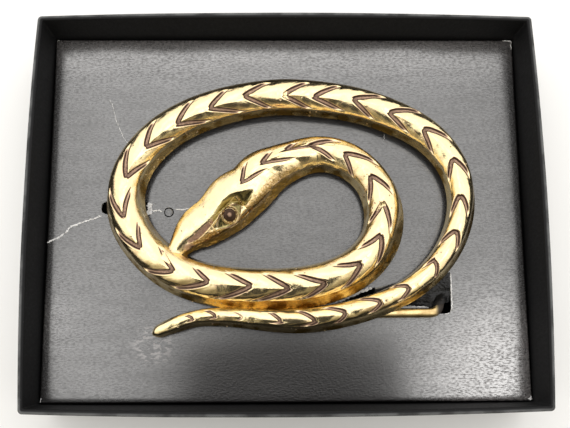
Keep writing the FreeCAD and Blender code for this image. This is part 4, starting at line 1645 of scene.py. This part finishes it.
@dataclass
class InsertCard:
    """The folded card that holds the buckle: deck, flanges, holes, pushed-down flap and wear."""

    palette: Palette
    thickness: float = 0.6
    fold: float = 0.5
    deck_rings: int = 44
    window: tuple[tuple[float, float], ...] = ((12.0, -22.0), (34.9, -23.3), (34.9, -24.9), (39.3, -24.9),
                                               (40.2, -24.6), (40.5, -23.7), (40.5, -14.7), (21.1, -18.5))
    oval: tuple[float, float, float, float] = (-40.0, 1.7, 6.0, 2.0)
    punch: tuple[float, float, float] = (-29.2, 0.5, 1.25)
    slot_box: tuple[float, float, float, float] = (35.1, 15.3, 39.9, 22.3)
    dip: tuple[tuple[float, float, float], ...] = ((36.6, -24.7, 12.3), (38.8, -19.7, 8.6))
    skin_edge: tuple[tuple[float, float], ...] = (
        (21.6, -19.6), (24.0, -21.6), (27.0, -22.6), (30.0, -23.0), (33.5, -23.3), (35.4, -23.3),
        (36.4, -22.9), (37.3, -22.6), (38.6, -22.2), (40.3, -21.8))
    flap_long: float = 15.4
    flap_drop: float = 7.6
    flap_tilt: float = 62.0

    def _hinge(self) -> Two:
        """The ends of the flap's hinge: the last and the last but one corner of the opening."""
        return np.array(self.window[-1]), np.array(self.window[-2])

    def _profile(self) -> list[Ring]:
        """Levels from the middle of the deck out over the fold, down the flange and back.

        Returns:
            The rings in that order.
        """
        half_x, half_y = INSERT_HIGH[0], INSERT_HIGH[1]
        foot = float(INSERT_LOW[2])
        rings = []
        for f in np.linspace(0.02, 1, self.deck_rings):
            rings.append(Ring(f * (half_x - self.fold), f * (half_y - self.fold), 0.35 * f, CARD_TOP))
        for a in np.linspace(0.25, 1, 4) * math.pi / 2:
            out = self.fold * (math.sin(a) - 1)
            rings.append(Ring(half_x + out, half_y + out, 0.5, CARD_TOP - self.fold * (1 - math.cos(a))))
        for level in np.linspace(CARD_TOP - self.fold - 1, foot, 5):
            rings.append(Ring(half_x, half_y, 0.5, level))
        inner_x, inner_y = half_x - self.thickness, half_y - self.thickness
        for level in np.linspace(foot, CARD_TOP - self.thickness, 5):
            rings.append(Ring(inner_x, inner_y, 0.3, level))
        for f in np.linspace(0.96, 0.02, 16):
            rings.append(Ring(f * inner_x, f * inner_y, 0.3 * f, CARD_TOP - self.thickness))
        return rings

    def _deck(self) -> Shell:
        """The folded card, its deck waved by under a tenth of a millimetre.

        Returns:
            The closed skin.
        """
        grid = np.array([ring.points() for ring in self._profile()])
        x, y, z = grid[..., 0], grid[..., 1], grid[..., 2]
        inside = smoothstep(0, 6, np.minimum(INSERT_HIGH[0] - np.abs(x), INSERT_HIGH[1] - np.abs(y)))
        ripple = (waves(5, 6, 60.0, x, y) - 1.6) * 0.045 * inside
        grid[..., 2] = z + np.where(z > CARD_TOP - self.thickness - 0.01, ripple, 0)
        return closed_rings(grid)

    @staticmethod
    def _ragged(points: Array, step: float, rough: float, seed: int) -> Array:
        """A line divided into short steps, each moved a little sideways at random.

        Args:
            points: The line's corners.
            step: How long a step is.
            rough: The spread of the moves.
            seed: Fixes them.

        Returns:
            The new line, whose two ends stay.
        """
        length = length_along(points)
        at = np.linspace(0, length[-1], max(3, int(length[-1] / step) + 1))
        fine = np.column_stack([np.interp(at, length, points[:, k]) for k in range(2)])
        shift = np.random.default_rng(seed).normal(0, rough, len(fine))
        shift[[0, -1]] = 0
        return fine + square_left(fine) * shift[:, None]

    def _cutters(self) -> list[Object]:
        """Blocks for the four openings, with the pale core as their material.

        Returns:
            The blocks, which the cut removes.
        """
        low, high = CARD_TOP - 1.6, CARD_TOP + 1.0
        corners = np.array(self.window)
        knee, end = self._hinge()
        torn = self._ragged(np.vstack([knee, corners[0]]), 0.5, 0.13, 21)
        hinge = self._ragged(np.vstack([end, knee]), 0.8, 0.03, 22)
        near = self._ragged(np.vstack([corners[0], corners[1]]), 0.8, 0.05, 23)
        window = np.vstack([near[:-1], corners[1:-2], hinge[:-1], torn[:-1]])
        x, y, long, wide = self.oval
        turn = np.linspace(0, 2 * math.pi, 72, endpoint=False)
        square = [np.sign(wave) * np.abs(wave) ** 0.62 for wave in (np.cos(turn), np.sin(turn))]
        oval = np.column_stack([x + long * square[0], y + wide * square[1]])
        oval = oval + 0.06 * np.random.default_rng(24).normal(size=oval.shape)
        px, py, pr = self.punch
        hole = np.column_stack([px + pr * np.cos(turn[::2]), py + pr * np.sin(turn[::2])])
        x0, y0, x1, y1 = self.slot_box
        slot = np.array([(x0, y0), (x1, y0), (x1, y1), (x0, y1)])
        return [mesh_object(f"insert_cut_{n}", [prism(outline, low, high)], self.palette.core)
                for n, outline in enumerate((window, oval, hole, slot))]

    def _flap(self) -> Shell:
        """The flap hanging from the far edge of the opening, curled and a little crumpled: its
        slope rises from 0 at the hinge to the tilt, and the run and fall are its running sums.

        Returns:
            The closed flap.
        """
        long_points, drop_points, start, curl = 40, 22, 0.6, 2.2
        knee, end = self._hinge()
        along = unit(end - knee)
        into = np.array([along[1], -along[0]])
        u, v = grid_over(np.linspace(start, start + self.flap_long, long_points),
                         np.linspace(0, self.flap_drop, drop_points))
        bend = math.radians(self.flap_tilt) * smoothstep(0, curl, v)
        hinge = np.zeros((long_points, 1))
        run, fall = (np.concatenate([hinge, np.cumsum(wave(bend[:, 1:]), axis=1)], axis=1)
                     for wave in (np.cos, np.sin))
        step = self.flap_drop / (drop_points - 1)
        crumple = 0.22 * waves(31, 5, 9.0, u, v) * smoothstep(0, 3, v)
        x, y = (knee[k] + along[k] * u + into[k] * (run * step + crumple * 0.7) for k in range(2))
        z = CARD_TOP - 0.05 - fall * step + crumple * 0.4
        return thick_sheet(np.stack([x, y, z], axis=-1), self.thickness, down=False)

    def _dimple(self) -> Shell:
        """The skin pushed down in the punched hole: a disc, dished as a squared radius.

        Returns:
            The closed disc.
        """
        px, py, pr = self.punch
        r, turn = grid_over(np.linspace(0.03, pr - 0.3, 10), np.linspace(0, 2 * math.pi, 37))
        dish = 0.28 * (r / pr) ** 2 + 0.10 * np.sin(turn * 2 + 0.6) * (r / pr)
        points = [px + r * np.cos(turn), py + r * np.sin(turn), CARD_TOP - 0.40 + dish]
        return thick_sheet(np.stack(points, axis=-1), 0.08)

    def _torn_cover(self) -> Shell:
        """The glossy skin of the flap, torn from it: it slopes from the hinge over the hole to a
        ragged edge by the loop, rides over the loop where that dips, and is a little buckled.

        Returns:
            The closed skin.
        """
        hinge_points, loop_round = 70, 1.5
        knee, end = self._hinge()
        u, v = grid_over(np.linspace(0.02, 0.995, hinge_points), np.linspace(0, 1, 30))
        start = knee + (end - knee) * u[..., None]
        rough = 0.10 * np.random.default_rng(51).normal(size=hinge_points)
        stop = np.interp(start[:, 0, 0], *np.array(self.skin_edge).T) + rough
        x = start[..., 0] + 0.25 * v * (1 - u)
        y = start[..., 1] - 0.05 + (stop[:, None] - start[..., 1]) * v
        buckle = 0.16 * waves(53, 6, 11.0, x, y) * np.minimum(v * 3, 1)
        deep = 1.6 - 0.9 * smoothstep(34.0, 36.5, x)
        z = CARD_TOP - 0.12 - deep * smoothstep(0, 1.1, v) + buckle
        upper, lower = self.dip
        down = (y - upper[1]) / (lower[1] - upper[1])
        axis_x, axis_z = (upper[k] + (lower[k] - upper[k]) * down for k in (0, 2))
        apart = np.clip(np.abs(x - axis_x) / loop_round, 0, 1)
        over = axis_z + 1.45 * np.sqrt(1 - apart ** 2) + 0.16
        z = np.where((apart < 1) & (down < 1.15), np.maximum(z, over), z)
        return thick_sheet(np.stack([x, y, z], axis=-1), 0.12)

    def _strip(self, strip: Strip, seed: int, height: float = 0.035) -> Shell:
        """A strip of torn paper lying on the deck, its two borders ragged.

        Args:
            strip: Its line, width and how ragged it is.
            seed: Fixes its borders.
            height: How far its middle stands above the card.

        Returns:
            The closed strip.
        """
        line = self._ragged(np.array(strip.points), 0.22, 0.05, seed)
        side = square_left(line)
        draw = np.random.default_rng(seed + 1)
        edges = strip.width / 2 * (1 + strip.ragged * draw.uniform(-1, 1, (len(line), 2)))
        taper = np.minimum(1, 0.25 + np.minimum(np.arange(len(line)), np.arange(len(line))[::-1]) / 3)
        level = np.full(len(line), CARD_TOP + height)
        columns = [np.column_stack([line + side * (edges[:, :1] * taper[:, None]), level - 0.03]),
                   np.column_stack([line, level]),
                   np.column_stack([line - side * (edges[:, 1:] * taper[:, None]), level - 0.03])]
        return thick_sheet(np.stack(columns, axis=1), 0.16)

    def _edges(self) -> list[Strip]:
        """The bare paper along the torn and cut edges of the opening under the tail.

        Returns:
            The strips.
        """
        torn = (self.window[-1], (18.1, -19.4), (15.1, -20.9), self.window[0])
        right = ((40.6, -14.8), (40.65, -18.0), (40.62, -23.6), (40.2, -24.6))
        return [Strip("insert_torn_edge", torn, 0.62, 0.8),
                Strip("insert_cut_edge_right", right, 0.24, 0.5),
                Strip("insert_cut_edge_near", ((29.3, -22.95), (34.7, -23.26)), 0.13, 0.5),
                Strip("insert_cut_corner", ((38.6, -25.0), (39.4, -24.95), (40.1, -24.7)), 0.2, 0.5)]

    def build(self) -> list[Object]:
        """Makes the card with its openings and flap, and the strips of bare paper on it.

        Returns:
            All pieces, the card first.
        """
        card = mesh_object("insert", [self._deck()], self.palette.card)
        combine(card, self._cutters(), "DIFFERENCE")
        made = [finish_piece(card, Slot.CARD, 35.0, "insert_card")]
        for name, shell, material in (("insert_flap", self._flap(), self.palette.card),
                                      ("insert_flap_skin", self._torn_cover(), self.palette.skin),
                                      ("insert_punch_skin", self._dimple(), self.palette.card)):
            made.append(finish_piece(mesh_object(name, [shell], material), Slot.CARD, 50.0))
        for n, strip in enumerate(WEAR + tuple(self._edges())):
            piece = mesh_object(strip.name, [self._strip(strip, 100 + 2 * n)], self.palette.core)
            made.append(finish_piece(piece, Slot.CARD, 30.0))
        return made


# The tray


@dataclass
class BoxTray:
    """The paper-covered board tray, its walls bowing out towards the rim."""

    palette: Palette
    half_x: float = 60.5
    half_y: float = 47.2
    board: float = 1.2
    floor_board: float = 1.0
    corner: float = 0.9
    rim_round: float = 0.42

    def _profile(self) -> list[Ring]:
        """Levels from under the floor out, up the wall, over the rim and down to the floor.

        Returns:
            The rings in that order.
        """
        top = float(TRAY_HIGH[2])
        hx, hy, r = self.half_x, self.half_y, self.rim_round
        rings = [Ring(f * hx, f * hy, self.corner * f, 0.0) for f in np.linspace(0.05, 0.985, 12)]
        rings += [Ring(hx, hy, self.corner, z) for z in np.linspace(0.25, top - r, 22)]
        for a in np.linspace(0, math.pi / 2, 5)[1:]:
            inset = r * (1 - math.cos(a))
            rings.append(Ring(hx - inset, hy - inset, self.corner, top - r + r * math.sin(a)))
        ix, iy = hx - self.board, hy - self.board
        for a in np.linspace(math.pi / 2, 0, 5):
            out = r * (1 - math.cos(a))
            rings.append(Ring(ix + out, iy + out, max(0.35, self.corner - self.board + 0.5),
                              top - r + r * math.sin(a)))
        rings += [Ring(ix, iy, 0.4, z) for z in np.linspace(top - r - 0.5, self.floor_board, 18)]
        rings += [Ring(f * ix, f * iy, 0.4 * f, self.floor_board) for f in np.linspace(0.97, 0.05, 10)]
        return rings

    def build(self) -> Object:
        """Makes the tray and stands it for its solid.

        A wall point moves out by the bow at the rim, times one less the squared share along the
        wall, times its height as a share of the rim's. A grey painted highlight runs along the
        outer half of the rim.

        Returns:
            The tray.
        """
        bow_x, bow_y = TRAY_HIGH[0] - self.half_x, TRAY_HIGH[1] - self.half_y
        rings = self._profile()
        grid = np.array([ring.points() for ring in rings])
        x, y, z = grid[..., 0].copy(), grid[..., 1].copy(), grid[..., 2]
        top = float(TRAY_HIGH[2])
        up = z / top
        sag = np.minimum(1 + 0.06 * waves(41, 4, 90.0, x, y), 1)
        share_x, share_y = x / self.half_x, y / self.half_y
        grid[..., 0] = x + np.sign(x) * bow_x * up * (1 - share_y ** 2).clip(0) * np.abs(share_x) ** 8 * sag
        grid[..., 1] = y + np.sign(y) * bow_y * up * (1 - share_x ** 2).clip(0) * np.abs(share_y) ** 8 * sag
        # The painted highlight: rings of the outer wall face near the top of the rim.
        outer = [r.half_x > self.half_x - self.board * 0.62 and r.height > 5 for r in rings]
        level = np.array([r.height if out else 0.0 for r, out in zip(rings, outer)])
        rub = smoothstep(top - 0.55, top - 0.15, level)[:, None] * np.ones_like(x)
        tray = mesh_object("tray", [closed_rings(grid, {"rub": rub})], self.palette.paper)
        return finish_piece(tray, Slot.BOARD, 40.0, "box_tray")


# The studio


class Glow(NamedTuple):
    """A soft window in the surround: where it stands, its half angle and its strength."""

    direction: tuple[float, float, float]
    degrees: float
    strength: float


@dataclass
class Studio:
    """A plain pale floor, a soft surround with brighter windows, a dark card that the pad and
    the brass mirror, and the camera above the box."""

    glows: tuple[Glow, ...] = (Glow((-0.05, 0.42, 0.90), 14.0, 0.6), Glow((0.32, -0.12, 0.94), 10.0, 1.2),
                               Glow((-0.32, 0.0, 0.95), 6.0, 0.8))
    near_dark: tuple[float, float] = (-0.85, -0.30)
    tint: Colour = (1.0, 0.985, 0.965, 1)
    near_tint: Colour = (1.0, 0.88, 0.62, 1)
    flag: tuple[float, float, float, float, float] = (-36.0, -300.0, 46.0, -33.0, 120.0)
    floor_tone: Colour = (0.82, 0.82, 0.81, 1)
    floor_light: Colour = (0.9, 0.9, 0.9, 1)
    floor_size: float = 1600.0
    surround: float = 1.68
    camera_place: tuple[float, float, float] = (-3.008, -31.437, 198.04)
    pitch: float = 0.16636
    yaw: float = -0.014555
    roll: float = -0.002462
    focal_pixels: float = 760.0
    sensor: float = 36.0

    def _floor(self) -> None:
        """A large sheet just under the box."""
        half = self.floor_size / 2
        places = np.linspace(-half, half, 9)
        shell = level_sheet(places, places, -0.02, 4.0)
        shader = Shader("studio_floor")
        tone = shader.mix(shader.noise(20, 2) * 0.1, self.floor_tone, self.floor_light)
        material = shader.set(Base_Color=tone, Roughness=0.9)
        mesh_object("studio_floor", [shell], material)

    def _surround(self) -> None:
        """The surround: bright above and at the far side, dim and warm at the near side, with
        the glows added where the dot product with their direction nears 1."""
        world = bpy.data.worlds.new("studio_surround")
        bpy.context.scene.world = world
        world.use_nodes = True
        nodes = Nodes(world.node_tree)
        way = nodes.node("ShaderNodeTexCoord").outputs["Generated"]
        split = nodes.node("ShaderNodeSeparateXYZ", None, {"Vector": way})
        far, up = (Value(nodes, split.outputs[axis]) for axis in ("Y", "Z"))
        light = far.between(*self.near_dark) * 0.79 + 0.21
        light = light * (up.between(-0.05, 0.55) * 0.34 + 0.66) * self.surround
        for glow in self.glows:
            near = nodes.node("ShaderNodeVectorMath", {"operation": "DOT_PRODUCT"},
                              {0: way, 1: glow.direction})
            border, core = (math.cos(math.radians(glow.degrees * share)) for share in (1.6, 0.4))
            light = light + Value(nodes, near.outputs["Value"]).between(border, core) * glow.strength
        tint = nodes.node("ShaderNodeMix", {"data_type": "RGBA"},
                          {0: far.between(*self.near_dark), 6: self.near_tint, 7: self.tint})
        back = nodes.node("ShaderNodeBackground", None, {"Color": tint.outputs[2], "Strength": light})
        nodes.node("ShaderNodeOutputWorld", None, {"Surface": back.outputs[0]})

    def _flag(self) -> None:
        """A dark card over the near side, out of the picture, that the pad and brass mirror."""
        x0, y0, x1, y1, level = self.flag
        card = level_sheet(np.array([x0, x1]), np.array([y0, y1]), level, 1.0)
        shader = Shader("studio_flag")
        tone = shader.mix(shader.noise(30, 2), (0.010, 0.010, 0.010, 1), (0.016, 0.015, 0.015, 1))
        made = mesh_object("studio_flag", [card], shader.set(Base_Color=tone, Roughness=0.9))
        made.visible_camera = False

    def _camera(self) -> None:
        """The camera, turned by pitch, then yaw, then roll."""
        data = bpy.data.cameras.new("camera")
        data.sensor_width = self.sensor
        data.lens = self.focal_pixels * self.sensor / IMAGE_WIDTH
        data.clip_start, data.clip_end = 0.01, 10.0
        camera = bpy.data.objects.new("camera", data)
        bpy.context.scene.collection.objects.link(camera)
        camera.location = [c * METRES for c in self.camera_place]
        camera.rotation_mode = "ZYX"
        camera.rotation_euler = (self.pitch, self.yaw, self.roll)
        bpy.context.scene.camera = camera

    def build(self) -> None:
        """Sets up floor, surround, dark card and camera."""
        bpy.context.scene.view_settings.view_transform = "Standard"
        self._floor()
        self._surround()
        self._flag()
        self._camera()


def main() -> None:
    """Builds the studio and the pieces in order."""
    logging.basicConfig(level=logging.INFO, format="%(name)s %(message)s")
    palette = Palette.mixed()
    Studio().build()
    BoxTray(palette).build()
    InsertCard(palette).build()
    BeltParts(palette).build()
    SnakeCasting(palette).build()


if __name__ == "__main__":
    main()
